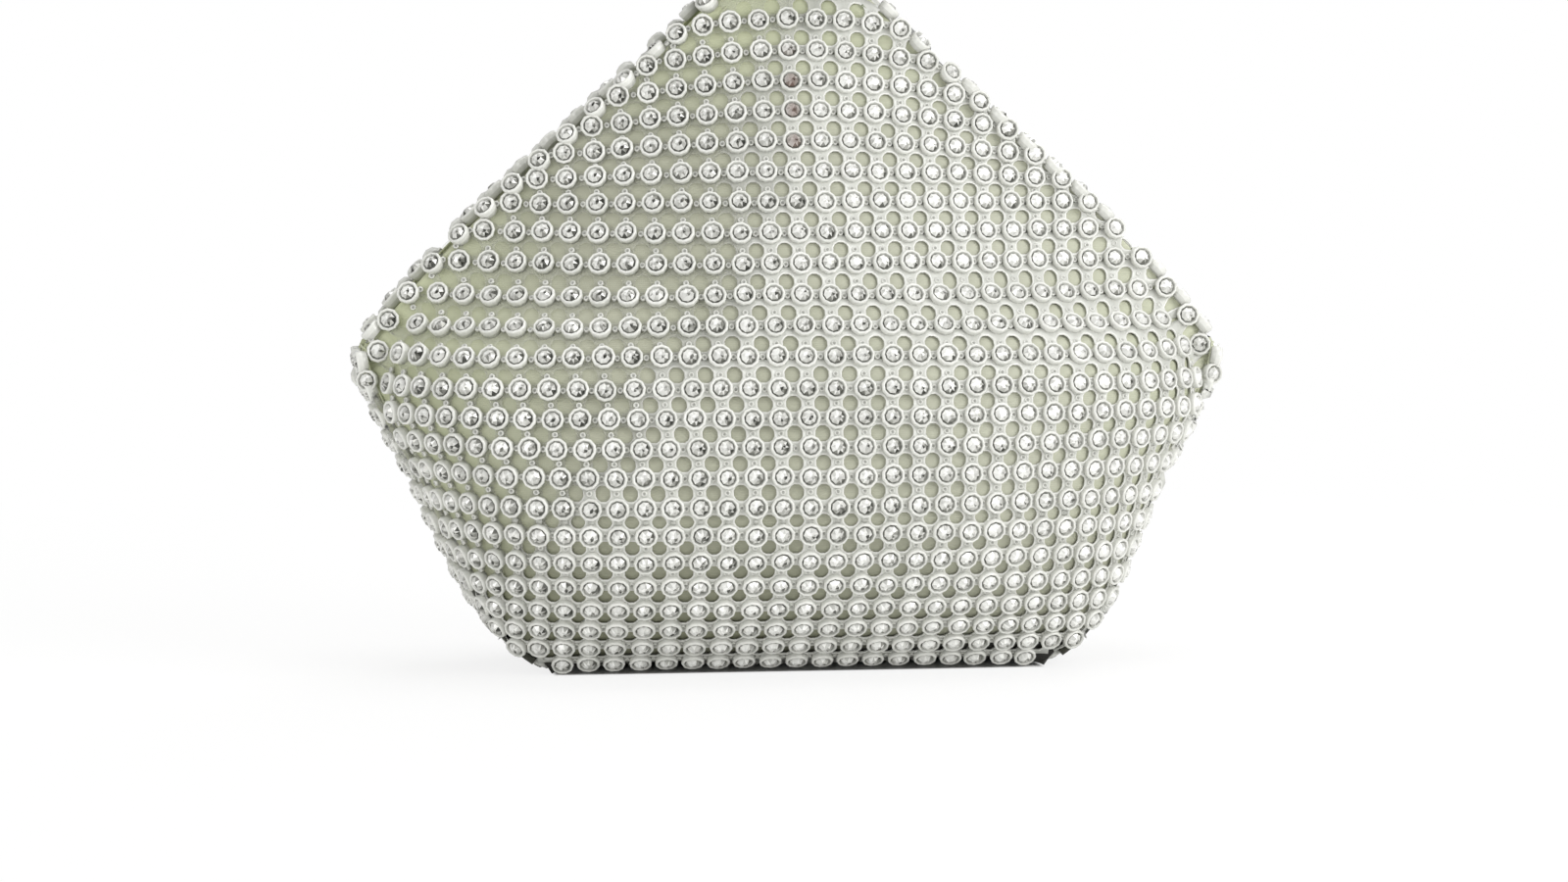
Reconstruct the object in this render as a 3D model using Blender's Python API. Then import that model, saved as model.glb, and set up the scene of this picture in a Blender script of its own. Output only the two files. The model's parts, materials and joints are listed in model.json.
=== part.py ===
"""Small evening handbag in crystal mesh over satin, with a hinged hoop handle.

Metres, +Z up, front towards -Y. The origin is on the floor under the middle of the base.
The bag is a stack of shaped sheets: a crystal mesh skin, a satin body and a lining, each a
panel between two copies of the same outline. Their top edges are held in a metal clamp that
carries the handle's pivots, and a zip lies in the groove along the right shoulder.
"""

import math

import bmesh
import bpy
import numpy as np
from mathutils import Matrix, Vector
from mathutils.geometry import delaunay_2d_cdt

# Outline of the bag, over the stones
BASE_WIDTH = 0.112
BASE_DEPTH = 0.042
WIDEST_WIDTH = 0.199
WIDEST_HEIGHT = 0.073
WIDEST_DEPTH = 0.082
BELLY_DEPTH = 0.096
SHOULDER_RISE = 0.080
SHOULDER_BULGE = 0.0034
EDGE_DEPTH = 0.022
NECK_WIDTH = 0.037
NECK_DEPTH = 0.0174
NECK_HEIGHT = 0.009
NECK_TAPER = 0.009
EDGE_MARGIN = 0.0065
GORE_BULGE = 0.0022
FACE_POWER = 3.0
FACE_SOFTNESS = 0.65
RIDGE_POWER = 1.8
RIDGE_SOFTNESS = 1.3

# Stones of the crystal mesh, along its surface
STONE_PITCH = 0.00645
ROW_PITCH = 0.0066
FIRST_ROW = 0.0030
STONE_RELIEF = 0.0022
STONE_MARGIN = 0.0020

# Layers, from the outside in
MESH_THICKNESS = 0.0034
SATIN_THICKNESS = 0.0010
LINING_THICKNESS = 0.0008
BOARD_THICKNESS = 0.0015
BOARD_ROUND = 0.0004
POCKET_THICKNESS = 0.0008
LAYER_GAP = 0.0004
SATIN_CLEARANCE = 0.0009
FIT_GAP = 0.0003

# Lining and pocket
LINING_CLEARANCE = 0.0016
LINING_DROP = 0.0085
POCKET_CLEARANCE = 0.0008
POCKET_WIDTH = 0.076
POCKET_LOW = 0.026
POCKET_HIGH = 0.068
SLOT_DEPTH = 0.0185

# Shoulder groove and zip, in the shoulder's own axes
TAPE_DROP = 0.0056
TAPE_THICKNESS = 0.0006
TAPE_INNER = 0.0026
TAPE_END = 0.0075
TAPE_LOW_END = 0.0030
COIL_INNER = 0.0025
COIL_WIDTH = 0.0016
COIL_HEIGHT = 0.0016
COIL_PITCH = 0.0025
COIL_NOTCH = 0.0005
STOP_LENGTH = 0.0024
STOP_SETBACK = 0.0120
SLOT_HALF_WIDTH = 0.0045
SLIDER_LENGTH = 0.0120
SLIDER_HALF_WIDTH = 0.0051
SLIDER_PLATE = 0.0009
SLIDER_POST = 0.0016
SLIDER_FLANGE = 0.0006
SLIDER_RUN = 0.0003
BAIL_WIDTH = 0.0020
BAIL_THICKNESS = 0.0008
BAIL_GAP = 0.0017
BAIL_LEG = 0.0010
PULL_WIDTH = 0.0052
PULL_LENGTH = 0.0180
PULL_THICKNESS = 0.0011
PULL_WINDOW = 0.0046
PULL_BAR = 0.0010

# Neck clamp and its screws
CLAMP_WALL = 0.0012
CLAMP_HEIGHT = 0.0130
CLAMP_ROUND = 0.0009
SCREW_SPACING = 0.0140
SCREW_RADIUS = 0.0012
SCREW_HEAD_RADIUS = 0.0022
SCREW_HEAD_HEIGHT = 0.0010
SCREW_DEPTH = 0.0060

# Handle pivots
PIVOT_RISE = 0.0070
PIN_RADIUS = 0.0016
PIN_HOLE_RADIUS = 0.0019
PIN_DEPTH = 0.0080
PIN_HEAD_RADIUS = 0.0034
PIN_HEAD_HEIGHT = 0.0015
BOSS_RADIUS = 0.0044
BOSS_LENGTH = 0.0024
WASHER_RADIUS = 0.0040
WASHER_THICKNESS = 0.0008
EYE_RADIUS = 0.0054
EYE_LENGTH = 0.0050

# Handle hoop
HOOP_RADIUS = 0.0460
CORE_RADIUS = 0.0045
SLEEVE_THICKNESS = 0.0010
SKIN_THICKNESS = 0.0026
CAP_LENGTH = 0.0180
CAP_BORE_DEPTH = 0.0080
CAP_NECK_RADIUS = 0.0022
CAP_RADIUS = 0.0088
CAP_LIP = 0.0006

# Facets
ACROSS_STEPS = 14
GORE_STEPS = 4
HOOP_STEPS = 24
HOOP_SIDES = 12
ROUND_SIDES = 20
CUT_OVERRUN = 0.0020
COLUMN_PINCH = 0.0005
MERGE_DISTANCE = 1e-7
ARC_SAMPLES = 81
INSIDE_ONLY = 1
SHARP_DEGREES = 35

# Outline shares: height, then how far the half width has grown from the base to the widest row
FLARE_shares = ((0.0, 0.0), (0.04, 0.13), (0.1, 0.25), (0.22, 0.395), (0.34, 0.49),
                (0.465, 0.585), (0.59, 0.68), (0.71, 0.80), (0.82, 0.90), (0.91, 0.965), (1.0, 1.0))
# Height up the shoulder, then how much of the bulge stands out over its straight line
BULGE_shares = ((0.0, 0.0), (0.15, 0.62), (0.38, 1.0), (0.65, 0.42), (0.85, 0.04), (1.0, 0.0))
# Height, then how far the half depth has grown from the base to the belly
BELLY_shares = ((0.0, 0.0), (0.083, 0.167), (0.194, 0.352), (0.333, 0.537), (0.5, 0.704),
                (0.667, 0.837), (0.833, 0.937), (1.0, 1.0))
BELLY_HEIGHT_share = 0.49
# Height above the belly, then the share of belly depth still left over the widest depth
TAPER_shares = ((0.0, 1.0), (0.3, 0.9), (0.65, 0.5), (1.0, 0.0))
# Height up the shoulder, then how far the depth has fallen from the widest row to the edge
LEAN_shares = ((0.0, 0.0), (0.3, 0.29), (0.7, 0.71), (1.0, 1.0))
LOWER_LEVEL_shares = (0.0, 0.04, 0.09, 0.19, 0.36, 0.55, 0.72, 0.85, 0.93, 1.0)
UPPER_LEVEL_shares = (0.14, 0.30, 0.46, 0.62, 0.77)
# Heights between which the face turns into the ridge, and its edges into a flat margin
RIDGE_BLEND_shares = (0.90, 1.25)
MARGIN_BLEND_shares = (0.75, 1.0)
# Height, then how far left of the middle the front stands out most, over the half width
RIDGE_shares = ((0.0, 0.0), (0.1, 0.24), (0.3, 0.30), (0.5, 0.20), (0.72, 0.08), (0.95, 0.0))
# Height up the middle line, then the spacing of the stones' columns over their full pitch
GATHER_shares = ((0.0, 0.90), (0.15, 0.92), (0.32, 0.945), (0.5, 0.995), (1.0, 0.995))
# Heights between which the lining turns in from the gores to below the zip
LINING_TURN_shares = (0.68, 0.92)
# Shares of a zip tooth's pitch, of the slider's length and of the pull's length
TOOTH_shares = (0.3, 0.7)
BAIL_END_share = 1 / 6
PULL_PIVOT_share = 0.6
PULL_TAPER_share = 0.75
CROWN_share = 0.7

# Worked out from the sizes above
HALF_WIDEST = WIDEST_WIDTH / 2
HALF_NECK = NECK_WIDTH / 2
SHOULDER_RUN = HALF_WIDEST - HALF_NECK
SHOULDER_TOP = WIDEST_HEIGHT + SHOULDER_RISE
SHOULDER_LENGTH = math.hypot(SHOULDER_RUN, SHOULDER_RISE)
SHOULDER_TILT = math.atan2(SHOULDER_RISE, SHOULDER_RUN)
NECK_TOP = SHOULDER_TOP + NECK_HEIGHT
PIVOT_HEIGHT = SHOULDER_TOP + PIVOT_RISE
SATIN_INSET = MESH_THICKNESS + SATIN_CLEARANCE
WALL_INSET = SATIN_INSET + SATIN_THICKNESS + LAYER_GAP
LINING_INSET = SATIN_INSET + SATIN_THICKNESS + LINING_CLEARANCE
POCKET_INSET = LINING_INSET + LINING_THICKNESS + POCKET_CLEARANCE
GROOVE_HALF = EDGE_DEPTH / 2 - SATIN_INSET - SATIN_THICKNESS
SATIN_BASE_LOW = MESH_THICKNESS + LAYER_GAP
BOARD_LOW = SATIN_BASE_LOW + SATIN_THICKNESS + LAYER_GAP
LINING_LOW = BOARD_LOW + BOARD_THICKNESS + LAYER_GAP
LINING_TOP = SHOULDER_TOP - NECK_TAPER
TAPE_LENGTH = SHOULDER_LENGTH - TAPE_END - TAPE_LOW_END
COIL_FLOOR = -TAPE_DROP + FIT_GAP
SLIDER_REST = TAPE_END + STOP_LENGTH + 2 * FIT_GAP
SLIDER_TRAVEL = TAPE_LENGTH - 2 * STOP_LENGTH - STOP_SETBACK - SLIDER_LENGTH - 4 * FIT_GAP
SLIDER_ROOF = COIL_FLOOR + COIL_HEIGHT + SLIDER_RUN
SLIDER_FLOOR = -TAPE_DROP - TAPE_THICKNESS - SLIDER_RUN
PULL_PIVOT_ALONG = SLIDER_REST + PULL_PIVOT_share * SLIDER_LENGTH
PULL_PIVOT_OUT = SLIDER_ROOF + SLIDER_PLATE + BAIL_GAP / 2
CLAMP_BOTTOM = SHOULDER_TOP + FIT_GAP
CLAMP_TOP = CLAMP_BOTTOM + CLAMP_HEIGHT
CLAMP_HALF_WIDTH = HALF_NECK + FIT_GAP + CLAMP_WALL
CLAMP_HALF_DEPTH = NECK_DEPTH / 2 + FIT_GAP + CLAMP_WALL
CLAMP_ROOF = CLAMP_TOP - CLAMP_WALL
BLOCK_HALF_WIDTH = HALF_NECK - FIT_GAP
BLOCK_HALF_DEPTH = NECK_DEPTH / 2 - SATIN_INSET - SATIN_THICKNESS - FIT_GAP
BLOCK_TOP = CLAMP_ROOF - FIT_GAP
BLOCK_BOTTOM = SHOULDER_TOP
WASHER_START = CLAMP_HALF_WIDTH + BOSS_LENGTH + FIT_GAP
EYE_START = WASHER_START + WASHER_THICKNESS + FIT_GAP
EYE_MIDDLE = EYE_START + EYE_LENGTH / 2
HEAD_START = EYE_START + EYE_LENGTH + FIT_GAP
SLEEVE_INNER = CORE_RADIUS + FIT_GAP
SLEEVE_OUTER = SLEEVE_INNER + SLEEVE_THICKNESS
SKIN_INNER = SLEEVE_OUTER + FIT_GAP
SKIN_OUTER = SKIN_INNER + SKIN_THICKNESS
CAP_LEAN = (math.acos(EYE_MIDDLE / math.hypot(HOOP_RADIUS, CAP_LENGTH))
            - math.atan2(CAP_LENGTH, HOOP_RADIUS))
ALONG_X = Matrix.Rotation(math.pi / 2, 4, "Y")
HOOP_CENTRE_Z = (PIVOT_HEIGHT + CAP_LENGTH * math.cos(CAP_LEAN)
                 + HOOP_RADIUS * math.sin(CAP_LEAN))

MATERIALS = {
    "crystal_mesh": ((0.78, 0.79, 0.74), 0.25, 0.0),
    "satin": ((0.37, 0.40, 0.30), 0.45, 0.0),
    "lining": ((0.42, 0.44, 0.36), 0.60, 0.0),
    "board": ((0.20, 0.19, 0.17), 0.80, 0.0),
    "zip_tape": ((0.34, 0.37, 0.28), 0.75, 0.0),
    "silver": ((0.80, 0.81, 0.82), 0.18, 1.0),
    "nylon": ((0.72, 0.73, 0.68), 0.40, 0.0),
}


def clear_scene():
    """Remove whatever the opened scene holds."""
    for item in list(bpy.data.objects):
        bpy.data.objects.remove(item, do_unlink=True)


def material(name):
    """The named Principled material, made once."""
    found = bpy.data.materials.get(name)
    if found:
        return found
    colour, roughness, metallic = MATERIALS[name]
    made = bpy.data.materials.new(name)
    made.use_nodes = True
    shader = made.node_tree.nodes["Principled BSDF"]
    shader.inputs["Base Color"].default_value = (*colour, 1.0)
    shader.inputs["Roughness"].default_value = roughness
    shader.inputs["Metallic"].default_value = metallic
    return made


def add_object(name, mesh, finish, smooth=True):
    """Put a mesh in the scene under its node name."""
    item = bpy.data.objects.new(name, mesh)
    bpy.context.scene.collection.objects.link(item)
    if finish:
        mesh.materials.append(material(finish))
    if smooth:
        mesh.shade_smooth()
        mesh.set_sharp_from_angle(angle=math.radians(SHARP_DEGREES))
    return item


def hermite(x, shares):
    """Smooth curve through (x, y) pairs: cubic pieces whose slopes are those of the chords."""
    xs, ys = np.array(shares).T
    slopes = np.gradient(ys, xs)
    i = np.clip(np.searchsorted(xs, x, side="right") - 1, 0, len(xs) - 2)
    step = xs[i + 1] - xs[i]
    t = np.clip((x - xs[i]) / step, 0.0, 1.0)
    start = (1 + 2 * t) * (1 - t) ** 2 * ys[i] + t * (1 - t) ** 2 * step * slopes[i]
    end = t * t * (3 - 2 * t) * ys[i + 1] - t * t * (1 - t) * step * slopes[i + 1]
    return start + end


def blend(z, low, high):
    """Smooth step from 0 at low to 1 at high."""
    t = np.clip((z - low) / (high - low), 0.0, 1.0)
    return t * t * (3 - 2 * t)


def straight_width(z):
    """Half width at height z along the flared sides and the straight line of the shoulders."""
    base = BASE_WIDTH / 2
    flared = base + (HALF_WIDEST - base) * hermite(z / WIDEST_HEIGHT, FLARE_shares)
    shoulder = HALF_WIDEST - (z - WIDEST_HEIGHT) * SHOULDER_RUN / SHOULDER_RISE
    return np.where(z <= WIDEST_HEIGHT, flared, np.maximum(shoulder, HALF_NECK))


def half_width(z):
    """Half of the bag's width at height z, with the bulge of its shoulders."""
    return straight_width(z) + SHOULDER_BULGE * hermite((z - WIDEST_HEIGHT) / SHOULDER_RISE,
                                                        BULGE_shares)


def half_depth(z):
    """Half of the bag's depth on its middle line at height z."""
    belly_height = BELLY_HEIGHT_share * WIDEST_HEIGHT
    base, belly, widest = BASE_DEPTH / 2, BELLY_DEPTH / 2, WIDEST_DEPTH / 2
    swell = base + (belly - base) * hermite(z / belly_height, BELLY_shares)
    above = (z - belly_height) / (WIDEST_HEIGHT - belly_height)
    taper = widest + (belly - widest) * hermite(above, TAPER_shares)
    climb = (z - WIDEST_HEIGHT) / (LINING_TOP - WIDEST_HEIGHT)
    lean = edge_half_depth(z) + (widest - EDGE_DEPTH / 2) * (1 - hermite(climb, LEAN_shares))
    lower = np.where(z <= belly_height, swell, taper)
    return np.where(z <= WIDEST_HEIGHT, lower, lean)


def edge_half_depth(z):
    """Half of the bag's depth at the panels' side edges at height z."""
    base, edge, neck = BASE_DEPTH / 2, EDGE_DEPTH / 2, NECK_DEPTH / 2
    lower = base + (edge - base) * np.clip(z / WIDEST_HEIGHT, 0.0, 1.0)
    return lower + (neck - edge) * blend(z, LINING_TOP, SHOULDER_TOP)


def face_depth(x, z):
    """Depth of the bag's outer surface at x and height z.

    Depth falls from the ridge to the edges as (1 - t^p)^q. Low on the bag p is high and q low,
    so the face is flat with rounded sides. On the shoulders they are the other way about, which
    leaves a soft ridge, and a flat margin runs along each edge. The ridge wanders to the left.
    """
    width = half_width(z)
    edge = edge_half_depth(z)
    upper = blend(z, *(share * WIDEST_HEIGHT for share in RIDGE_BLEND_shares))
    margin = blend(z, *(share * WIDEST_HEIGHT for share in MARGIN_BLEND_shares)) * EDGE_MARGIN
    ridge = -width * hermite(z / SHOULDER_TOP, RIDGE_shares)
    reach = np.where(x < ridge, margin - width, width - margin) - ridge
    t = np.clip((x - ridge) / reach, 0.0, 1.0)
    power = FACE_POWER + (RIDGE_POWER - FACE_POWER) * upper
    shape = (1 - t ** power) ** (FACE_SOFTNESS + (RIDGE_SOFTNESS - FACE_SOFTNESS) * upper)
    return edge + np.maximum(half_depth(z) - edge, 0.0) * shape


def sheet_levels(bottom, top):
    """Heights of a panel's rows: its own ends, and the outline's levels between them."""
    lower = [share * WIDEST_HEIGHT for share in LOWER_LEVEL_shares]
    upper = [WIDEST_HEIGHT + share * SHOULDER_RISE for share in UPPER_LEVEL_shares]
    rows = lower + upper + [LINING_TOP, (LINING_TOP + SHOULDER_TOP) / 2, SHOULDER_TOP]
    inner = [z for z in rows if bottom + LAYER_GAP < z < top - LAYER_GAP]
    return np.array([bottom] + inner + [top])


def across_shares():
    """Shares of the half width, closer together towards the side edges."""
    return np.sin(np.linspace(-math.pi / 2, math.pi / 2, ACROSS_STEPS + 1))


def layer_points(z, inset, width, side):
    """Grid of points on a layer of the front (side -1) or back (side 1) panel.

    The layer keeps the outline's own columns, so that its facets lie along those of its
    neighbours, and the columns past its narrower edge are drawn in close beside that edge.
    """
    height = z[:, None] + np.zeros(ACROSS_STEPS + 1)
    x_outer = half_width(z)[:, None] * across_shares()
    depth = face_depth(x_outer, height)
    order = np.arange(ACROSS_STEPS + 1)
    limit = width[:, None] - COLUMN_PINCH * np.minimum(order, order[::-1])[None, :]
    x = np.clip(x_outer, -limit, limit)
    y = np.stack([np.interp(row, xo, d) for row, xo, d in zip(x, x_outer, depth)]) - inset
    if side > 0:
        return np.stack([-x, y, height], axis=-1)[:, ::-1]
    return np.stack([x, -y, height], axis=-1)


def grid_faces(rows, columns):
    """Triangles of a grid of points numbered row by row, with one diagonal in all layers."""
    start = (np.arange(rows - 1)[:, None] * columns + np.arange(columns - 1)).ravel()
    lower = np.stack([start, start + 1, start + columns + 1], axis=1)
    upper = np.stack([start, start + columns + 1, start + columns], axis=1)
    return np.concatenate([lower, upper])


def tube_faces(rows, columns, first):
    """Triangles of a tube of rings numbered from first, with one diagonal all round."""
    ring = np.arange(rows - 1)[:, None] * columns
    start = (ring + np.arange(columns)).ravel() + first
    after = (ring + np.roll(np.arange(columns), -1)).ravel() + first
    lower = np.stack([start, after, after + columns], axis=1)
    upper = np.stack([start, after + columns, start + columns], axis=1)
    return np.concatenate([lower, upper])


def grid_rim(rows, columns):
    """Numbers of the points round the edge of a grid, in order."""
    count = rows * columns
    return np.concatenate([
        np.arange(columns - 1),
        np.arange(rows - 1) * columns + columns - 1,
        count - 1 - np.arange(columns - 1),
        (rows - 1 - np.arange(rows - 1)) * columns,
    ])


def sheet_mesh(name, outer, inner):
    """Closed sheet between two grids of points of the same size."""
    rows, columns = outer.shape[:2]
    count = rows * columns
    faces = grid_faces(rows, columns)
    rim = grid_rim(rows, columns)
    after = np.roll(rim, -1)
    wall = np.stack([after, rim, rim + count, after + count], axis=1)
    mesh = bpy.data.meshes.new(name)
    points = np.concatenate([outer.reshape(-1, 3), inner.reshape(-1, 3)])
    inner_faces = faces[:, ::-1] + count
    mesh.from_pydata(points.tolist(), [],
                     faces.tolist() + inner_faces.tolist() + wall.tolist())
    point_outwards(mesh)
    return mesh


def point_outwards(mesh):
    """Turn the faces of a closed mesh to point out of it."""
    shape = bmesh.new()
    shape.from_mesh(mesh)
    bmesh.ops.recalc_face_normals(shape, faces=shape.faces)
    if shape.calc_volume(signed=True) < 0:
        bmesh.ops.reverse_faces(shape, faces=shape.faces)
    shape.to_mesh(mesh)
    shape.free()


def add_panel(name, finish, side, inset, thickness, bottom, top, edge_inset):
    """One front or back panel of a layer."""
    z = sheet_levels(bottom, top)
    width = half_width(z) - edge_inset
    outer = layer_points(z, inset, width, side)
    inner = layer_points(z, inset + thickness, width, side)
    return add_object(name, sheet_mesh(name, outer, inner), finish)


def arc_positions(z, arc):
    """x at height z of the points whose arc length from the middle of the front is arc."""
    x = half_width(z) * np.linspace(-1.0, 1.0, ARC_SAMPLES)
    depth = face_depth(x, np.full(ARC_SAMPLES, z))
    length = np.concatenate([[0.0], np.cumsum(np.hypot(np.diff(x), np.diff(depth)))])
    return np.interp(arc, length - length[ARC_SAMPLES // 2], x)


def lattice_line(row, shift):
    """x and z of the stones on one row of the front, or of the hollows between when shifted."""
    z = np.linspace(0.0, SHOULDER_TOP, ARC_SAMPLES)
    depth = face_depth(np.zeros(ARC_SAMPLES), z)
    climb = np.concatenate([[0.0], np.cumsum(np.hypot(np.diff(z), np.diff(depth)))])
    along = FIRST_ROW + row * ROW_PITCH
    level = np.interp(along, climb, z)
    reach = math.ceil(WIDEST_WIDTH / STONE_PITCH)
    spacing = STONE_PITCH * hermite(along / climb[-1], GATHER_shares)
    x = arc_positions(level, (np.arange(-reach, reach) + shift) * spacing)
    return x, np.full(len(x), level)


def stone_relief():
    """Points (x, z, relief) of the front's stones and of the hollows between four of them."""
    rows = int((LINING_TOP + BELLY_DEPTH) / ROW_PITCH)
    found = []
    for row in range(rows):
        for shift in (0.0, 0.5):
            x, z = lattice_line(row + shift, shift)
            found.append(np.stack([x, z, np.full(len(x), 2 * shift * STONE_RELIEF)], axis=1))
    found = np.concatenate(found)
    room = half_width(found[:, 1]) * across_shares()[-2] - STONE_MARGIN
    low_enough = found[:, 1] < LINING_TOP - STONE_MARGIN
    return found[(np.abs(found[:, 0]) < room) & low_enough]


def relief_points(outer, side):
    """Inner points of a mesh panel's outer face, and its grid's own beside the rim and neck."""
    stones = stone_relief()
    depth = face_depth(stones[:, 0], stones[:, 1]) - stones[:, 2]
    studs = np.stack([-side * stones[:, 0], side * depth, stones[:, 1]], axis=1)
    high = outer[:, 0, 2] > LINING_TOP - MERGE_DISTANCE
    neck = outer[high][:-1, 1:-1].reshape(-1, 3)
    sides = outer[~high][1:, [1, -2]].reshape(-1, 3)
    return np.concatenate([studs, sides, neck])


def studded_mesh(name, outer, inner, side):
    """Closed sheet whose outer face carries the stones and the hollows between them."""
    rows, columns = outer.shape[:2]
    rim = grid_rim(rows, columns)
    edge = outer.reshape(-1, 3)[rim]
    points = np.concatenate([edge, relief_points(outer, side)])
    order = np.arange(len(rim))
    after = np.roll(order, -1)
    flat = [Vector((x, z)) for x, _, z in points]
    loops = np.stack([order, after], axis=1).tolist()
    faces = delaunay_2d_cdt(flat, loops, [], INSIDE_ONLY, MERGE_DISTANCE)[2]
    first = len(points)
    backing = grid_faces(rows, columns)[:, ::-1] + first
    wall = np.stack([after, order, first + rim, first + np.roll(rim, -1)], axis=1)
    mesh = bpy.data.meshes.new(name)
    mesh.from_pydata(np.concatenate([points, inner.reshape(-1, 3)]).tolist(), [],
                     faces + backing.tolist() + wall.tolist())
    point_outwards(mesh)
    return mesh


def add_studded_panel(name, side):
    """Front or back panel of the crystal mesh."""
    z = sheet_levels(0, NECK_TOP)
    outer = layer_points(z, 0, half_width(z), side)
    inner = layer_points(z, MESH_THICKNESS, half_width(z), side)
    mesh = studded_mesh(name, outer, inner, side)
    return add_object(name, mesh, "crystal_mesh", smooth=False)


def add_gore(name, finish, side, inset, thickness, bottom, top, end_inset):
    """One side panel of a layer, between the front and back panels, bulged a little."""
    z = sheet_levels(bottom, top)
    half = edge_half_depth(z) - end_inset
    along = np.linspace(-1.0, 1.0, GORE_STEPS + 1)
    y = half[:, None] * along[None, :]
    swell = np.sin(np.pi * np.clip(z / WIDEST_HEIGHT, 0.0, 1.0)) * GORE_BULGE
    x = half_width(z)[:, None] - inset + swell[:, None] * (1 - along[None, :] ** 2)
    height = np.broadcast_to(z[:, None], y.shape)
    outer = np.stack([side * x, y, height], axis=-1)
    inner = np.stack([side * (x - thickness), y, height], axis=-1)
    return add_object(name, sheet_mesh(name, outer, inner), finish)


def box_mesh(name, low, high):
    """Box between two corners."""
    shape = bmesh.new()
    bmesh.ops.create_cube(shape, size=1.0)
    size = Vector(high) - Vector(low)
    middle = (Vector(high) + Vector(low)) / 2
    bmesh.ops.transform(shape, verts=shape.verts,
                        matrix=Matrix.Translation(middle) @ Matrix.Diagonal((*size, 1.0)))
    mesh = bpy.data.meshes.new(name)
    shape.to_mesh(mesh)
    shape.free()
    return mesh


def add_box(name, low, high, finish, rounding=0.0):
    """Box between two corners, with its edges rounded if asked."""
    item = add_object(name, box_mesh(name, low, high), finish, smooth=rounding > 0)
    if rounding > 0:
        edge = item.modifiers.new("rounding", "BEVEL")
        edge.width = rounding
        edge.segments = 2
    return item


def revolve_mesh(name, profile, sides=ROUND_SIDES):
    """Closed solid turned about Z from (radius, height) points that start and end at r = 0."""
    shape = bmesh.new()
    verts = [shape.verts.new((r, 0.0, h)) for r, h in profile]
    edges = [shape.edges.new(pair) for pair in zip(verts, verts[1:])]
    bmesh.ops.spin(shape, geom=verts + edges, cent=(0, 0, 0), axis=(0, 0, 1),
                   angle=math.tau, steps=sides, use_merge=True)
    bmesh.ops.remove_doubles(shape, verts=shape.verts, dist=MERGE_DISTANCE)
    mesh = bpy.data.meshes.new(name)
    shape.to_mesh(mesh)
    shape.free()
    point_outwards(mesh)
    return mesh


def rod_mesh(name, radius, start, end, sides=ROUND_SIDES):
    """Plain rod along Z from start to end."""
    return revolve_mesh(name, [(0, start), (radius, start), (radius, end), (0, end)], sides)


def extrude_mesh(name, outline, start, end, axis):
    """Prism of a closed outline. axis 0 extrudes (y, z) points along X, axis 1 (x, z) along Y."""
    shape = bmesh.new()
    if axis == 0:
        verts = [shape.verts.new((start, a, b)) for a, b in outline]
        reach = (end - start, 0, 0)
    else:
        verts = [shape.verts.new((a, start, b)) for a, b in outline]
        reach = (0, end - start, 0)
    face = shape.faces.new(verts)
    grown = bmesh.ops.extrude_face_region(shape, geom=[face], use_keep_orig=True)
    moved = [v for v in grown["geom"] if isinstance(v, bmesh.types.BMVert)]
    bmesh.ops.translate(shape, verts=moved, vec=reach)
    mesh = bpy.data.meshes.new(name)
    shape.to_mesh(mesh)
    shape.free()
    point_outwards(mesh)
    return mesh


def boolean(item, other, operation):
    """Cut or join another mesh object, which becomes a hidden guide."""
    other.hide_render = True
    other.display_type = "WIRE"
    step = item.modifiers.new(other.name, "BOOLEAN")
    step.operation = operation
    step.object = other
    step.solver = "EXACT"


def guide(name, mesh, place=None):
    """Object used only by a Boolean."""
    item = add_object(name, mesh, None, smooth=False)
    if place is not None:
        item.matrix_world = place
    return item


def shoulder_place(side):
    """Axes of a shoulder: X down its slope, Y as the bag's, Z out of it, zero at the neck."""
    place = Matrix.Translation((side * HALF_NECK, 0, SHOULDER_TOP))
    place = place @ Matrix.Rotation(side * SHOULDER_TILT, 4, "Y")
    return place


def build_skin():
    """Crystal mesh panels: front, back, two side gores and the base."""
    for name, side in (("mesh_front", -1), ("mesh_back", 1)):
        add_studded_panel(name, side)
    for name, side in (("mesh_side_left", -1), ("mesh_side_right", 1)):
        add_gore(name, "crystal_mesh", side, 0, MESH_THICKNESS, 0, WIDEST_HEIGHT,
                 MESH_THICKNESS + LAYER_GAP)
    x = BASE_WIDTH / 2 - WALL_INSET
    y = BASE_DEPTH / 2 - WALL_INSET
    add_box("mesh_base", (-x, -y, 0), (x, y, MESH_THICKNESS), "crystal_mesh")


def build_satin():
    """Satin body under the mesh, and the board on its base."""
    for name, side in (("satin_front", -1), ("satin_back", 1)):
        add_panel(name, "satin", side, SATIN_INSET, SATIN_THICKNESS, LAYER_GAP,
                  NECK_TOP - LAYER_GAP, SATIN_INSET)
    for name, side in (("satin_side_left", -1), ("satin_side_right", 1)):
        add_gore(name, "satin", side, SATIN_INSET, SATIN_THICKNESS, LAYER_GAP,
                 WIDEST_HEIGHT - LAYER_GAP, WALL_INSET)
    x = BASE_WIDTH / 2 - WALL_INSET
    y = BASE_DEPTH / 2 - WALL_INSET
    add_box("satin_base", (-x, -y, SATIN_BASE_LOW),
            (x, y, SATIN_BASE_LOW + SATIN_THICKNESS), "satin")
    add_box("base_board", (-x, -y, BOARD_LOW), (x, y, BOARD_LOW + BOARD_THICKNESS), "board",
            BOARD_ROUND)


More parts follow.
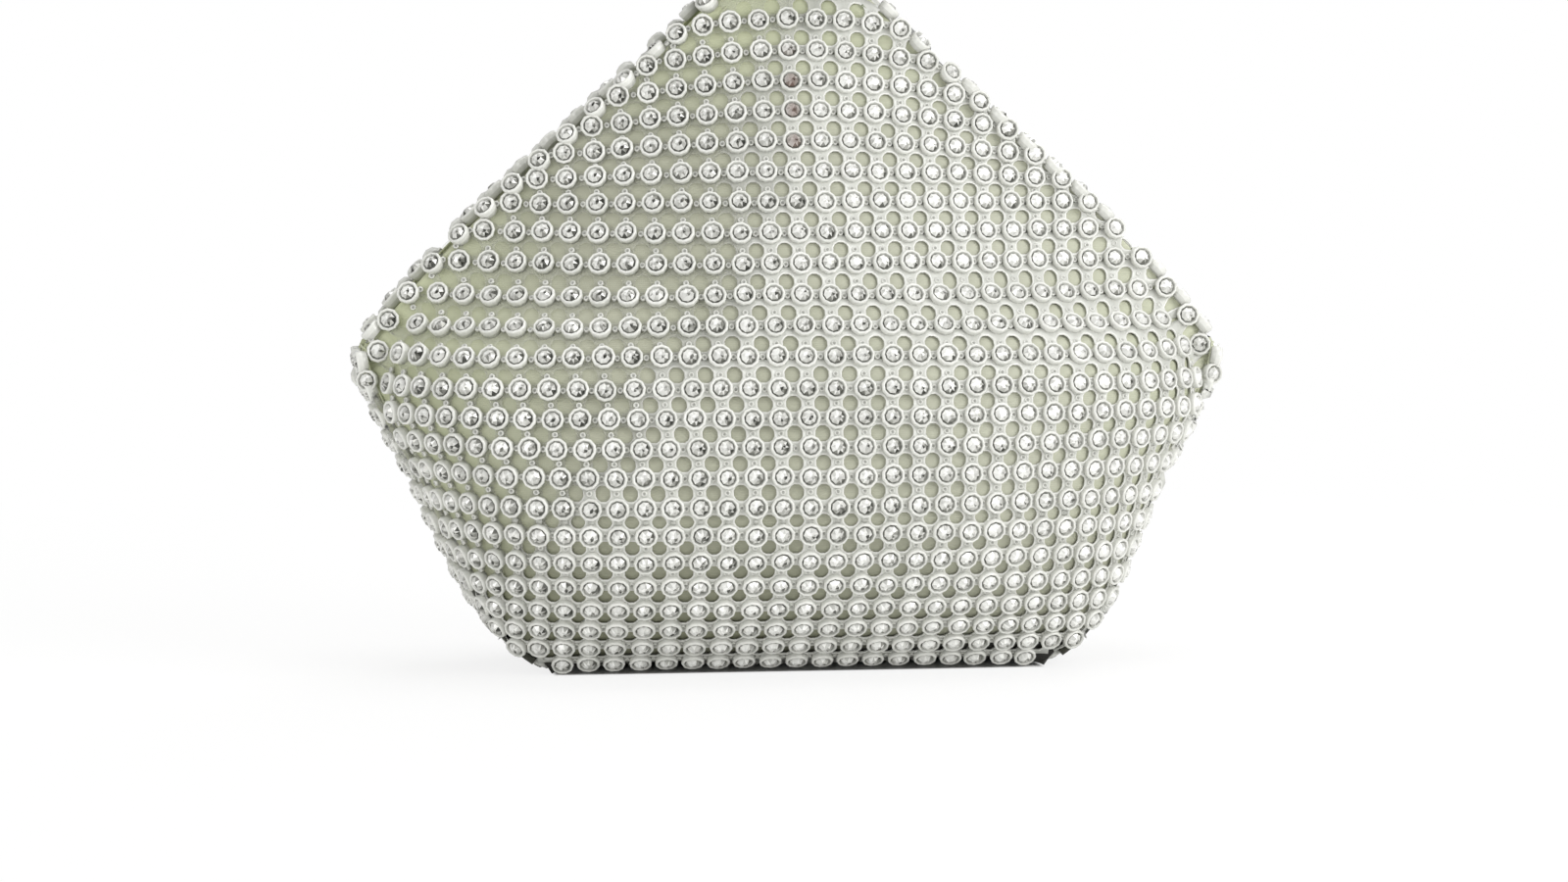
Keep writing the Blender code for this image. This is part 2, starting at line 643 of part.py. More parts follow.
def lining_loft(name, wall):
    """Closed loft of the lining, wall inside its outer face."""
    z = sheet_levels(LINING_LOW + wall, LINING_TOP - wall)
    drop = LINING_DROP / math.sin(SHOULDER_TILT)
    turn = blend(z, *(share * WIDEST_HEIGHT for share in LINING_TURN_shares))
    inset = LINING_INSET + (drop - LINING_INSET) * turn
    width = straight_width(z) - inset - wall
    front = layer_points(z, LINING_INSET + wall, width, -1)
    back = layer_points(z, LINING_INSET + wall, width, 1)[:, ::-1]
    loops = np.concatenate([front, back], axis=1)
    rows, columns = loops.shape[:2]
    faces = tube_faces(rows, columns, 0).tolist()
    faces.append(list(range(columns))[::-1])
    faces.append([(rows - 1) * columns + k for k in range(columns)])
    mesh = bpy.data.meshes.new(name)
    mesh.from_pydata(loops.reshape(-1, 3).tolist(), [], faces)
    point_outwards(mesh)
    return mesh


def build_lining():
    """Lining bag, hollow, with a slot under the zip, and the pocket on its back."""
    lining = add_object("lining", lining_loft("lining", 0), "lining")
    boolean(lining, guide("lining_hollow", lining_loft("lining_hollow", LINING_THICKNESS)),
            "DIFFERENCE")
    slot = box_mesh("lining_slot", (TAPE_END, -SLOT_HALF_WIDTH, -SLOT_DEPTH),
                    (SHOULDER_LENGTH - TAPE_END, SLOT_HALF_WIDTH, 0))
    boolean(lining, guide("lining_slot", slot, shoulder_place(1)), "DIFFERENCE")
    z = sheet_levels(POCKET_LOW, POCKET_HIGH)
    width = np.full_like(z, POCKET_WIDTH / 2)
    outer = layer_points(z, POCKET_INSET, width, 1)[:, ::-1]
    inner = layer_points(z, POCKET_INSET + POCKET_THICKNESS, width, 1)[:, ::-1]
    add_object("slip_pocket", sheet_mesh("slip_pocket", outer, inner), "lining")


def add_shoulder_box(name, finish, side, low, high, rounding=0.0):
    """Box placed in the axes of a shoulder."""
    item = add_box(name, low, high, finish, rounding)
    item.matrix_world = shoulder_place(side)
    return item


def coil_outline():
    """Notched side view of a zip coil: one rounded tooth each pitch."""
    start = TAPE_END + STOP_LENGTH + FIT_GAP
    end = SHOULDER_LENGTH - TAPE_LOW_END - STOP_SETBACK - STOP_LENGTH - FIT_GAP
    teeth = int((end - start) / COIL_PITCH)
    pitch = (end - start) / teeth
    top = COIL_FLOOR + COIL_HEIGHT
    points = [(end, COIL_FLOOR), (start, COIL_FLOOR)]
    for k in range(teeth):
        x = start + k * pitch
        points.append((x, top - COIL_NOTCH))
        points += [(x + pitch * share, top) for share in TOOTH_shares]
    points.append((end, top - COIL_NOTCH))
    return points


def build_zip():
    """Tapes, coils and stops of the zip in the right shoulder, and the left shoulder's strip."""
    edge = GROOVE_HALF - FIT_GAP
    top = -TAPE_DROP
    low_end = SHOULDER_LENGTH - TAPE_LOW_END
    add_shoulder_box("shoulder_gusset", "satin", -1, (-low_end, -edge, top - TAPE_THICKNESS),
                     (-TAPE_END, edge, top))
    for name, side in (("front", -1), ("back", 1)):
        near, far = sorted((side * TAPE_INNER, side * edge))
        add_shoulder_box("zip_tape_" + name, "zip_tape", 1,
                         (TAPE_END, near, top - TAPE_THICKNESS), (low_end, far, top))
        near, far = sorted((side * COIL_INNER, side * (COIL_INNER + COIL_WIDTH)))
        mesh = extrude_mesh("zip_coil_" + name, coil_outline(), near, far, 1)
        coil = add_object("zip_coil_" + name, mesh, "nylon")
        coil.matrix_world = shoulder_place(1)
    stop_top = COIL_FLOOR + COIL_HEIGHT
    for name, along in (("upper", TAPE_END), ("lower", low_end - STOP_LENGTH - STOP_SETBACK)):
        add_shoulder_box("zip_stop_" + name, "silver", 1,
                         (along, -COIL_INNER - COIL_WIDTH, COIL_FLOOR),
                         (along + STOP_LENGTH, COIL_INNER + COIL_WIDTH, stop_top),
                         FIT_GAP)


def slider_outline():
    """Cross-section of the slider: two plates on a post, with flanges round the coils."""
    roof, floor = SLIDER_ROOF, SLIDER_FLOOR
    lip = -TAPE_DROP + SLIDER_RUN
    outer = SLIDER_HALF_WIDTH
    inner = outer - SLIDER_FLANGE
    right = [
        (outer, floor - SLIDER_PLATE), (outer, floor), (SLIDER_POST, floor),
        (SLIDER_POST, roof), (inner, roof), (inner, lip), (outer, lip),
        (outer, roof + SLIDER_PLATE / 2), (inner, roof + SLIDER_PLATE),
    ]
    return right + [(-y, z) for y, z in reversed(right)]


def bail_outline():
    """Side view of the bridge on the slider that holds the pull."""
    base = SLIDER_ROOF + SLIDER_PLATE
    start = SLIDER_REST + SLIDER_LENGTH * BAIL_END_share
    end = SLIDER_REST + SLIDER_LENGTH * (1 - BAIL_END_share)
    under = base + BAIL_GAP
    top = under + BAIL_THICKNESS
    root = base - SLIDER_PLATE / 2
    return [(start, root), (start, under), (start + BAIL_THICKNESS, top),
            (end - BAIL_THICKNESS, top), (end, under), (end, root), (end - BAIL_LEG, root),
            (end - BAIL_LEG, under), (start + BAIL_LEG, under), (start + BAIL_LEG, root)]


def build_slider():
    """Zip slider at the neck end of the zip, and its pull lying down the slope."""
    place = shoulder_place(1)
    origin = Matrix.Translation((SLIDER_REST, 0, SLIDER_ROOF))
    mesh = extrude_mesh("zip_slider", slider_outline(), SLIDER_REST,
                        SLIDER_REST + SLIDER_LENGTH, 0)
    mesh.transform(origin.inverted())
    slider = add_object("zip_slider", mesh, "silver")
    slider.matrix_world = place @ origin
    bail = extrude_mesh("zip_bail", bail_outline(), -BAIL_WIDTH / 2, BAIL_WIDTH / 2, 1)
    boolean(slider, guide("zip_bail", bail, place), "UNION")

    half = PULL_WIDTH / 2
    thick = PULL_THICKNESS / 2
    pivot = Matrix.Translation((PULL_PIVOT_ALONG, 0, PULL_PIVOT_OUT))
    outline = [(-PULL_BAR / 2, -half), (PULL_LENGTH * PULL_TAPER_share, -half), (PULL_LENGTH, -half / 2),
               (PULL_LENGTH, half / 2), (PULL_LENGTH * PULL_TAPER_share, half), (-PULL_BAR / 2, half)]
    shape = bmesh.new()
    verts = [shape.verts.new((x, y, -thick)) for x, y in outline]
    face = shape.faces.new(verts)
    grown = bmesh.ops.extrude_face_region(shape, geom=[face], use_keep_orig=True)
    moved = [v for v in grown["geom"] if isinstance(v, bmesh.types.BMVert)]
    bmesh.ops.translate(shape, verts=moved, vec=(0, 0, 2 * thick))
    mesh = bpy.data.meshes.new("zip_pull")
    shape.to_mesh(mesh)
    shape.free()
    point_outwards(mesh)
    pull = add_object("zip_pull", mesh, "silver")
    pull.matrix_world = place @ pivot
    rim = (PULL_WIDTH - BAIL_WIDTH) / 2 - 2 * FIT_GAP
    window = box_mesh("zip_pull_window", (PULL_BAR / 2, rim - half, -2 * thick),
                      (PULL_BAR / 2 + PULL_WINDOW, half - rim, 2 * thick))
    boolean(pull, guide("zip_pull_window", window, place @ pivot), "DIFFERENCE")


def build_clamp():
    """Metal channel on the neck with a pivot boss at each end, its block and its screws."""
    clamp = add_box("neck_clamp", (-CLAMP_HALF_WIDTH, -CLAMP_HALF_DEPTH, CLAMP_BOTTOM),
                    (CLAMP_HALF_WIDTH, CLAMP_HALF_DEPTH, CLAMP_TOP), "silver", CLAMP_ROUND)
    reach = CLAMP_HALF_WIDTH + BOSS_LENGTH
    turn = Matrix.Translation((0, 0, PIVOT_HEIGHT)) @ ALONG_X
    boolean(clamp, guide("clamp_boss", rod_mesh("clamp_boss", BOSS_RADIUS, -reach, reach),
                         turn), "UNION")
    hollow = box_mesh("clamp_hollow", (CLAMP_WALL - CLAMP_HALF_WIDTH,
                                       CLAMP_WALL - CLAMP_HALF_DEPTH,
                                       CLAMP_BOTTOM - CUT_OVERRUN),
                      (CLAMP_HALF_WIDTH - CLAMP_WALL, CLAMP_HALF_DEPTH - CLAMP_WALL,
                       CLAMP_ROOF))
    boolean(clamp, guide("clamp_hollow", hollow), "DIFFERENCE")
    bore = rod_mesh("clamp_bore", PIN_HOLE_RADIUS, -reach - CUT_OVERRUN, reach + CUT_OVERRUN)
    boolean(clamp, guide("clamp_bore", bore, turn), "DIFFERENCE")
    block = add_box("neck_block", (-BLOCK_HALF_WIDTH, -BLOCK_HALF_DEPTH, BLOCK_BOTTOM),
                    (BLOCK_HALF_WIDTH, BLOCK_HALF_DEPTH, BLOCK_TOP), "nylon")
    pin_end = BLOCK_HALF_WIDTH - PIN_DEPTH
    for name, side in (("left", -1), ("right", 1)):
        start, end = pin_end - FIT_GAP, BLOCK_HALF_WIDTH + CUT_OVERRUN
        socket = rod_mesh("block_socket_" + name, PIN_HOLE_RADIUS, start, end)
        face_side = Matrix.Translation((0, 0, PIVOT_HEIGHT)) @ Matrix.Rotation(
            side * math.pi / 2, 4, "Y")
        boolean(block, guide("block_socket_" + name, socket, face_side), "DIFFERENCE")
        x = side * SCREW_SPACING / 2
        place = Matrix.Translation((x, 0, CLAMP_TOP))
        hole = rod_mesh("screw_hole_" + name, SCREW_RADIUS + FIT_GAP,
                        -SCREW_DEPTH - CLAMP_WALL - FIT_GAP, CUT_OVERRUN)
        cut = guide("screw_hole_" + name, hole, place)
        boolean(block, cut, "DIFFERENCE")
        boolean(clamp, cut, "DIFFERENCE")
        head = FIT_GAP + SCREW_HEAD_HEIGHT
        profile = [(0, -SCREW_DEPTH - CLAMP_WALL), (SCREW_RADIUS, -SCREW_DEPTH - CLAMP_WALL),
                   (SCREW_RADIUS, FIT_GAP), (SCREW_HEAD_RADIUS, FIT_GAP),
                   (SCREW_HEAD_RADIUS, FIT_GAP + SCREW_HEAD_HEIGHT / 2),
                   (SCREW_HEAD_RADIUS / 2, head), (0, head)]
        screw = add_object("clamp_screw_" + name, revolve_mesh("clamp_screw_" + name, profile),
                           "silver")
        screw.matrix_world = place


def build_pivots():
    """Pins and washers that the handle turns on, one at each end of the clamp."""
    for name, side in (("left", -1), ("right", 1)):
        place = Matrix.Translation((0, 0, PIVOT_HEIGHT)) @ Matrix.Rotation(
            side * math.pi / 2, 4, "Y")
        end = HEAD_START + PIN_HEAD_HEIGHT
        start = BLOCK_HALF_WIDTH - PIN_DEPTH
        profile = [(0, start), (PIN_RADIUS, start), (PIN_RADIUS, HEAD_START),
                   (PIN_HEAD_RADIUS, HEAD_START),
                   (PIN_HEAD_RADIUS, HEAD_START + PIN_HEAD_HEIGHT / 2),
                   (PIN_HEAD_RADIUS * CROWN_share, end), (0, end)]
        pin = add_object("pivot_pin_" + name, revolve_mesh("pivot_pin_" + name, profile),
                         "silver")
        pin.matrix_world = place
        washer = add_object("pivot_washer_" + name, rod_mesh(
            "pivot_washer_" + name, WASHER_RADIUS, WASHER_START,
            WASHER_START + WASHER_THICKNESS), "nylon")
        washer.matrix_world = place
        hole = rod_mesh("washer_hole_" + name, PIN_HOLE_RADIUS, WASHER_START - CUT_OVERRUN,
                        WASHER_START + WASHER_THICKNESS + CUT_OVERRUN)
        boolean(washer, guide("washer_hole_" + name, hole, place), "DIFFERENCE")


def build_caps(pivot):
    """Metal ends of the handle: an eye on the pin and a leaning socket for the hoop."""
    rim = CAP_LENGTH - FIT_GAP
    bore = rim - CAP_BORE_DEPTH
    profile = [(0, 0), (CAP_NECK_RADIUS, 0), (CAP_NECK_RADIUS, EYE_RADIUS / 2),
               (CAP_RADIUS - CAP_LIP, bore - FIT_GAP), (CAP_RADIUS, rim - 2 * CAP_LIP),
               (CAP_RADIUS, rim - CAP_LIP), (CAP_RADIUS - CAP_LIP, rim),
               (CORE_RADIUS + FIT_GAP, rim), (CORE_RADIUS + FIT_GAP, bore), (0, bore)]
    for name, side in (("left", -1), ("right", 1)):
        lean = Matrix.Translation((side * EYE_MIDDLE, 0, 0)) @ Matrix.Rotation(
            side * CAP_LEAN, 4, "Y")
        cap = add_object("handle_cap_" + name, revolve_mesh("handle_cap_" + name, profile),
                         "silver")
        cap.data.transform(lean)
        cap.parent = pivot
        across = Matrix.Translation((0, 0, PIVOT_HEIGHT)) @ Matrix.Rotation(
            side * math.pi / 2, 4, "Y")
        eye = rod_mesh("handle_eye_" + name, EYE_RADIUS, EYE_START, EYE_START + EYE_LENGTH)
        boolean(cap, guide("handle_eye_" + name, eye, across), "UNION")
        hole = rod_mesh("handle_hole_" + name, PIN_HOLE_RADIUS, EYE_START - CUT_OVERRUN,
                        EYE_START + EYE_LENGTH + CUT_OVERRUN)
        boolean(cap, guide("handle_hole_" + name, hole, across), "DIFFERENCE")
        room = EYE_START + EYE_LENGTH + FIT_GAP / 2
        recess = rod_mesh("head_recess_" + name, PIN_HEAD_RADIUS + 2 * FIT_GAP, room,
                          room + 2 * PIN_HEAD_HEIGHT)
        boolean(cap, guide("head_recess_" + name, recess, across), "DIFFERENCE")


def hoop_path(stub):
    """Centre line of the hoop from left to right, with a straight stub in each cap.

    The arc has its centre above the clamp and reaches down to the caps, and each stub
    carries on from it along the arc's own tangent.
    """
    angles = np.linspace(math.pi + CAP_LEAN, -CAP_LEAN, HOOP_STEPS + 1)
    x = HOOP_RADIUS * np.cos(angles)
    z = HOOP_CENTRE_Z + HOOP_RADIUS * np.sin(angles)
    tangent = np.stack([np.sin(angles), -np.cos(angles)], axis=1)
    points = np.stack([x, z], axis=1)
    if stub > 0:
        points = np.concatenate([points[:1] - tangent[:1] * stub, points,
                                 points[-1:] + tangent[-1:] * stub])
        tangent = np.concatenate([tangent[:1], tangent, tangent[-1:]])
    return points, tangent


def hoop_rings(radius, stub):
    """Rings of points round the hoop's centre line."""
    points, tangent = hoop_path(stub)
    angles = np.arange(HOOP_SIDES) * math.tau / HOOP_SIDES
    normal = np.stack([-tangent[:, 1], tangent[:, 0]], axis=1)
    out = radius * np.cos(angles)
    x = points[:, 0, None] + normal[:, 0, None] * out
    z = points[:, 1, None] + normal[:, 1, None] * out - PIVOT_HEIGHT
    y = np.broadcast_to(radius * np.sin(angles), x.shape)
    return np.stack([x, y, z], axis=-1)


def hoop_mesh(name, outer, inner, stub):
    """Hoop of round section, solid if inner is zero and else a tube open at both ends."""
    skin = hoop_rings(outer, stub)
    rows, columns = skin.shape[:2]
    count = rows * columns
    points = [skin.reshape(-1, 3)]
    faces = tube_faces(rows, columns, 0).tolist()
    if inner > 0:
        points.append(hoop_rings(inner, stub).reshape(-1, 3))
        faces += tube_faces(rows, columns, count)[:, ::-1].tolist()
        for row in (0, rows - 1):
            ring = row * columns + np.arange(columns)
            after = row * columns + np.roll(np.arange(columns), -1)
            faces += np.stack([ring, after, after + count, ring + count], axis=1).tolist()
    else:
        faces.append(list(range(columns)))
        faces.append([(rows - 1) * columns + k for k in range(columns)])
    mesh = bpy.data.meshes.new(name)
    mesh.from_pydata(np.concatenate(points).tolist(), [], faces)
    point_outwards(mesh)
    return mesh


def build_handle():
    """Hoop handle on an empty at the pivots: caps, stiff core, satin sleeve and mesh sleeve."""
    pivot = bpy.data.objects.new("handle_pivot", None)
    pivot.location = (0, 0, PIVOT_HEIGHT)
    bpy.context.scene.collection.objects.link(pivot)
    stub = CAP_BORE_DEPTH - FIT_GAP
    layers = (("handle_core", "nylon", CORE_RADIUS, 0, stub),
              ("handle_satin", "satin", SLEEVE_OUTER, SLEEVE_INNER, 0),
              ("handle_mesh", "crystal_mesh", SKIN_OUTER, SKIN_INNER, 0))
    for name, finish, outer, inner, reach in layers:
        item = add_object(name, hoop_mesh(name, outer, inner, reach), finish)
        item.parent = pivot
    build_caps(pivot)


clear_scene()
build_skin()
build_satin()
build_lining()
build_zip()
build_slider()
build_clamp()
build_pivots()
build_handle()
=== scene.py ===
import json
import math

import bpy
import numpy as np
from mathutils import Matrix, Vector


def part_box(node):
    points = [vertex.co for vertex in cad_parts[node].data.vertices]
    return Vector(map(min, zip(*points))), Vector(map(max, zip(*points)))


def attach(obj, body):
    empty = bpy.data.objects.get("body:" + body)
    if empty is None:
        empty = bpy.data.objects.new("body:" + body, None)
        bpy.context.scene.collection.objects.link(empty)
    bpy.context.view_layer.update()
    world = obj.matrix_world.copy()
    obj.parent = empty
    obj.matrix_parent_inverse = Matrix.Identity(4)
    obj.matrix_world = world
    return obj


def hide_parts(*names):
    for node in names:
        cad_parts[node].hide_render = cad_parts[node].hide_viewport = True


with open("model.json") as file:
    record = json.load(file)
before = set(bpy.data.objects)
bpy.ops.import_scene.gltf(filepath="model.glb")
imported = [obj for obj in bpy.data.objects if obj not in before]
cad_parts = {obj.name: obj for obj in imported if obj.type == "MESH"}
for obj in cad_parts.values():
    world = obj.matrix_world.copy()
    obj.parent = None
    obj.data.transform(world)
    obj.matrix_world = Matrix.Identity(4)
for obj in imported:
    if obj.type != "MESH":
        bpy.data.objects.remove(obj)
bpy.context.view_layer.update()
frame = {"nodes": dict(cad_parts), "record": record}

MM = 0.001

# Outline of the bag over its stones, as in the solids
BASE_WIDTH = 0.112
BASE_DEPTH = 0.042
WIDEST_WIDTH = 0.199
WIDEST_HEIGHT = 0.073
WIDEST_DEPTH = 0.082
BELLY_DEPTH = 0.096
SHOULDER_RISE = 0.080
SHOULDER_BULGE = 0.0034
EDGE_DEPTH = 0.022
NECK_WIDTH = 0.037
NECK_DEPTH = 0.0174
NECK_TAPER = 0.009
EDGE_MARGIN = 0.0065
GORE_BULGE = 0.0022
FACE_POWER = 3.0
FACE_SOFTNESS = 0.65
RIDGE_POWER = 1.8
RIDGE_SOFTNESS = 1.3
FLARE = ((0.0, 0.0), (0.04, 0.13), (0.1, 0.25), (0.22, 0.395), (0.34, 0.49),
         (0.465, 0.585), (0.59, 0.68), (0.71, 0.80), (0.82, 0.90), (0.91, 0.965), (1.0, 1.0))
BULGE = ((0.0, 0.0), (0.15, 0.62), (0.38, 1.0), (0.65, 0.42), (0.85, 0.04), (1.0, 0.0))
BELLY = ((0.0, 0.0), (0.083, 0.167), (0.194, 0.352), (0.333, 0.537), (0.5, 0.704),
         (0.667, 0.837), (0.833, 0.937), (1.0, 1.0))
BELLY_HEIGHT = 0.49 * WIDEST_HEIGHT
TAPER = ((0.0, 1.0), (0.3, 0.9), (0.65, 0.5), (1.0, 0.0))
LEAN = ((0.0, 0.0), (0.3, 0.29), (0.7, 0.71), (1.0, 1.0))
RIDGE_BLEND = (0.90, 1.25)
MARGIN_BLEND = (0.75, 1.0)
RIDGE = ((0.0, 0.0), (0.1, 0.24), (0.3, 0.30), (0.5, 0.20), (0.72, 0.08), (0.95, 0.0))

HALF_BASE = BASE_WIDTH / 2
HALF_WIDEST = WIDEST_WIDTH / 2
HALF_NECK = NECK_WIDTH / 2
SHOULDER_RUN = HALF_WIDEST - HALF_NECK
SHOULDER_TOP = WIDEST_HEIGHT + SHOULDER_RISE
SHOULDER_LENGTH = math.hypot(SHOULDER_RUN, SHOULDER_RISE)
SLOPE_COS = SHOULDER_RUN / SHOULDER_LENGTH
SLOPE_SIN = SHOULDER_RISE / SHOULDER_LENGTH
LINING_TOP = SHOULDER_TOP - NECK_TAPER

# Lattice of the crystal mesh
PITCH = 0.00645
SIDE_PITCH = 0.0062
ROW_PITCH = 0.0066
FIRST_ROW = 0.0030
FIRST_COLUMN = -0.0016
STRETCH_ROW = 11
UPPER_STRETCH = 0.10
GATHER = ((0.0, 0.90), (0.15, 0.92), (0.32, 0.945), (0.5, 0.995), (1.0, 0.995))
DROOP = 6.0
DROOP_HEIGHT = 0.1005
DROOP_SPAN = 0.036

# Roll over the shoulders, and the turn back at the widest tips
ROLL = 0.0034
TIP_TURN = 0.0032
TIP_START = (0.050, 0.062)
TIP_END = (WIDEST_HEIGHT - 0.001, WIDEST_HEIGHT + 0.003)
SEAM_ROOM = 0.0006

# Net: its depth under the outline, and how far past a stone's place it reaches
NET_DROP = 0.0022
NET_THICKNESS = 0.0005
NET_REACH = 0.0052
HOLE_RADIUS = 0.00178
WELD_DISTANCE = 0.00002

# Room between the lattice and the neck, the edges of the sides and base, and the table's end
NECK_ROOM = 0.0022
SIDE_ROOM = 0.0017
SIDE_TOP_ROOM = 0.002
BASE_ROOM = 0.006
TABLE_ROOM = 0.0005

# Rows, and columns in all or to each side of the middle
ROW_COUNT = 28
COLUMN_REACH = 20
SIDE_ROWS = 14
SIDE_REACH = 5
BASE_ROWS = 6
BASE_COLUMNS = 16

# Luck of the stones: sizes, shifts off the lattice, and seeds
SMALLEST_STONE = 0.97
SIZE_SPREAD = 0.06
JITTER = 0.00035
LATTICE_SEED = 31
SHADE_SEED = 977

# Satin under the outline, and the ends of the shoulders' grooves
SATIN_DROP = 0.0030
SATIN_THICKNESS = 0.0004
GROOVE_START = 0.001
GROOVE_END = SHOULDER_LENGTH - 0.0025

# Hoop of the handle
PIVOT_HEIGHT = 0.160
HOOP_RADIUS = 0.046
CAP_LENGTH = 0.018
EYE_MIDDLE = 0.0263
HOOP_SKIN = 0.0087
CAP_LEAN = (math.acos(EYE_MIDDLE / math.hypot(HOOP_RADIUS, CAP_LENGTH))
            - math.atan2(CAP_LENGTH, HOOP_RADIUS))
HOOP_CENTRE_Z = (PIVOT_HEIGHT + CAP_LENGTH * math.cos(CAP_LEAN)
                 + HOOP_RADIUS * math.sin(CAP_LEAN))
HOOP_LENGTH = HOOP_RADIUS * (math.pi + 2 * CAP_LEAN)
HOOP_ROWS = 29
HOOP_COLUMNS = 8


# Outline

def hermite(x, pairs):
    """Smooth curve through (x, y) pairs: cubic pieces whose slopes come from the points beside."""
    xs, ys = np.array(pairs).T
    slopes = np.gradient(ys, xs)
    i = np.clip(np.searchsorted(xs, x, side="right") - 1, 0, len(xs) - 2)
    step = xs[i + 1] - xs[i]
    t = np.clip((x - xs[i]) / step, 0.0, 1.0)
    start = (1 + 2 * t) * (1 - t) ** 2 * ys[i] + t * (1 - t) ** 2 * step * slopes[i]
    end = t * t * (3 - 2 * t) * ys[i + 1] - t * t * (1 - t) * step * slopes[i + 1]
    return start + end


def ease(x, low, high):
    """Smooth step from 0 at low to 1 at high."""
    t = np.clip((x - low) / (high - low), 0.0, 1.0)
    return t * t * (3 - 2 * t)


def straight_width(z):
    """Half width at height z along the flared sides and the straight line of the shoulders."""
    flared = HALF_BASE + (HALF_WIDEST - HALF_BASE) * hermite(z / WIDEST_HEIGHT, FLARE)
    shoulder = HALF_WIDEST - (z - WIDEST_HEIGHT) * SHOULDER_RUN / SHOULDER_RISE
    return np.where(z <= WIDEST_HEIGHT, flared, np.maximum(shoulder, HALF_NECK))


def half_width(z):
    """Half of the bag's width at height z, with the bulge of its shoulders."""
    return straight_width(z) + SHOULDER_BULGE * hermite((z - WIDEST_HEIGHT) / SHOULDER_RISE, BULGE)


def edge_half_depth(z):
    """Half of the bag's depth at the panels' side edges at height z."""
    base, edge, neck = BASE_DEPTH / 2, EDGE_DEPTH / 2, NECK_DEPTH / 2
    lower = base + (edge - base) * np.clip(z / WIDEST_HEIGHT, 0.0, 1.0)
    return lower + (neck - edge) * ease(z, LINING_TOP, SHOULDER_TOP)


def half_depth(z):
    """Half of the bag's depth on its ridge at height z."""
    base, belly, widest = BASE_DEPTH / 2, BELLY_DEPTH / 2, WIDEST_DEPTH / 2
    swell = base + (belly - base) * hermite(z / BELLY_HEIGHT, BELLY)
    above = (z - BELLY_HEIGHT) / (WIDEST_HEIGHT - BELLY_HEIGHT)
    taper = widest + (belly - widest) * hermite(above, TAPER)
    climb = (z - WIDEST_HEIGHT) / (LINING_TOP - WIDEST_HEIGHT)
    lean = edge_half_depth(z) + (widest - EDGE_DEPTH / 2) * (1 - hermite(climb, LEAN))
    lower = np.where(z <= BELLY_HEIGHT, swell, taper)
    return np.where(z <= WIDEST_HEIGHT, lower, lean)


def face_depth(x, z):
    """Depth of the front's outer surface: from the ridge to the edges it falls as (1 - t^p)^q."""
    width = half_width(z)
    edge = edge_half_depth(z)
    upper = ease(z, *(share * WIDEST_HEIGHT for share in RIDGE_BLEND))
    margin = ease(z, *(share * WIDEST_HEIGHT for share in MARGIN_BLEND)) * EDGE_MARGIN
    ridge = -width * hermite(z / SHOULDER_TOP, RIDGE)
    reach = np.where(x < ridge, margin - width, width - margin) - ridge
    t = np.clip((x - ridge) / reach, 0.0, 1.0)
    power = FACE_POWER + (RIDGE_POWER - FACE_POWER) * upper
    shape = (1 - t ** power) ** (FACE_SOFTNESS + (RIDGE_SOFTNESS - FACE_SOFTNESS) * upper)
    return edge + np.maximum(half_depth(z) - edge, 0.0) * shape


# Surfaces as functions of two lengths, given as arrays of one shape

TABLE_ROWS = 246
TABLE_COLUMNS = 160
TABLE_TOP = SHOULDER_TOP + 0.004
TABLE_Z = np.linspace(0.0, TABLE_TOP, TABLE_ROWS)
SLOPE_AT = -np.gradient(half_width(TABLE_Z), TABLE_Z)


def fold_x(z):
    """Where the front turns over the shoulder: a roll's radius inside the slope, level with z."""
    inside = ROLL / SLOPE_SIN * ease(z, WIDEST_HEIGHT - ROLL, WIDEST_HEIGHT + ROLL)
    return half_width(z) - inside


def arc_table(side):
    """Arc length from the middle line to the fold, and x at even shares of it, for each height."""
    share = np.linspace(0.0, 1.0, TABLE_COLUMNS)
    x = side * fold_x(TABLE_Z)[:, None] * share[None, :]
    depth = face_depth(x, np.broadcast_to(TABLE_Z[:, None], x.shape))
    step = np.hypot(np.diff(x, axis=1), np.diff(depth, axis=1))
    arc = np.concatenate([np.zeros((TABLE_ROWS, 1)), np.cumsum(step, axis=1)], axis=1)
    even = np.stack([np.interp(share * row[-1], row, xs) for row, xs in zip(arc, x)])
    return arc[:, -1], even


_tables = [arc_table(-1.0), arc_table(1.0)]
FOLD_ARC = np.stack([table[0] for table in _tables])
X_AT_ARC = np.stack([table[1] for table in _tables])
_climb = np.hypot(np.diff(TABLE_Z), np.diff(face_depth(np.zeros(TABLE_ROWS), TABLE_Z)))
CLIMB = np.concatenate([[0.0], np.cumsum(_climb)])
CLIMB_TOP = np.interp(SHOULDER_TOP, TABLE_Z, CLIMB)


def fold_arc(arc, z):
    """Arc length across the front from the middle line to the fold, on the arc's own side."""
    return np.where(arc < 0, np.interp(z, TABLE_Z, FOLD_ARC[0]), np.interp(z, TABLE_Z, FOLD_ARC[1]))


def x_at(arc, z):
    """x of the point an arc length from the middle line at height z, from the table."""
    side = (arc >= 0).astype(int)
    share = np.clip(np.abs(arc) / fold_arc(arc, z), 0.0, 1.0) * (TABLE_COLUMNS - 1)
    level = np.clip(z / TABLE_TOP, 0.0, 1.0) * (TABLE_ROWS - 1)
    i = np.minimum(level.astype(int), TABLE_ROWS - 2)
    j = np.minimum(share.astype(int), TABLE_COLUMNS - 2)
    u, v = level - i, share - j
    low = X_AT_ARC[side, i, j] * (1 - v) + X_AT_ARC[side, i, j + 1] * v
    high = X_AT_ARC[side, i + 1, j] * (1 - v) + X_AT_ARC[side, i + 1, j + 1] * v
    return low * (1 - u) + high * u


def gathered(arc, row):
    """Arc length on the bag of a length across the slack mesh, which gathers towards the base."""
    return arc * hermite(row / CLIMB_TOP, GATHER)


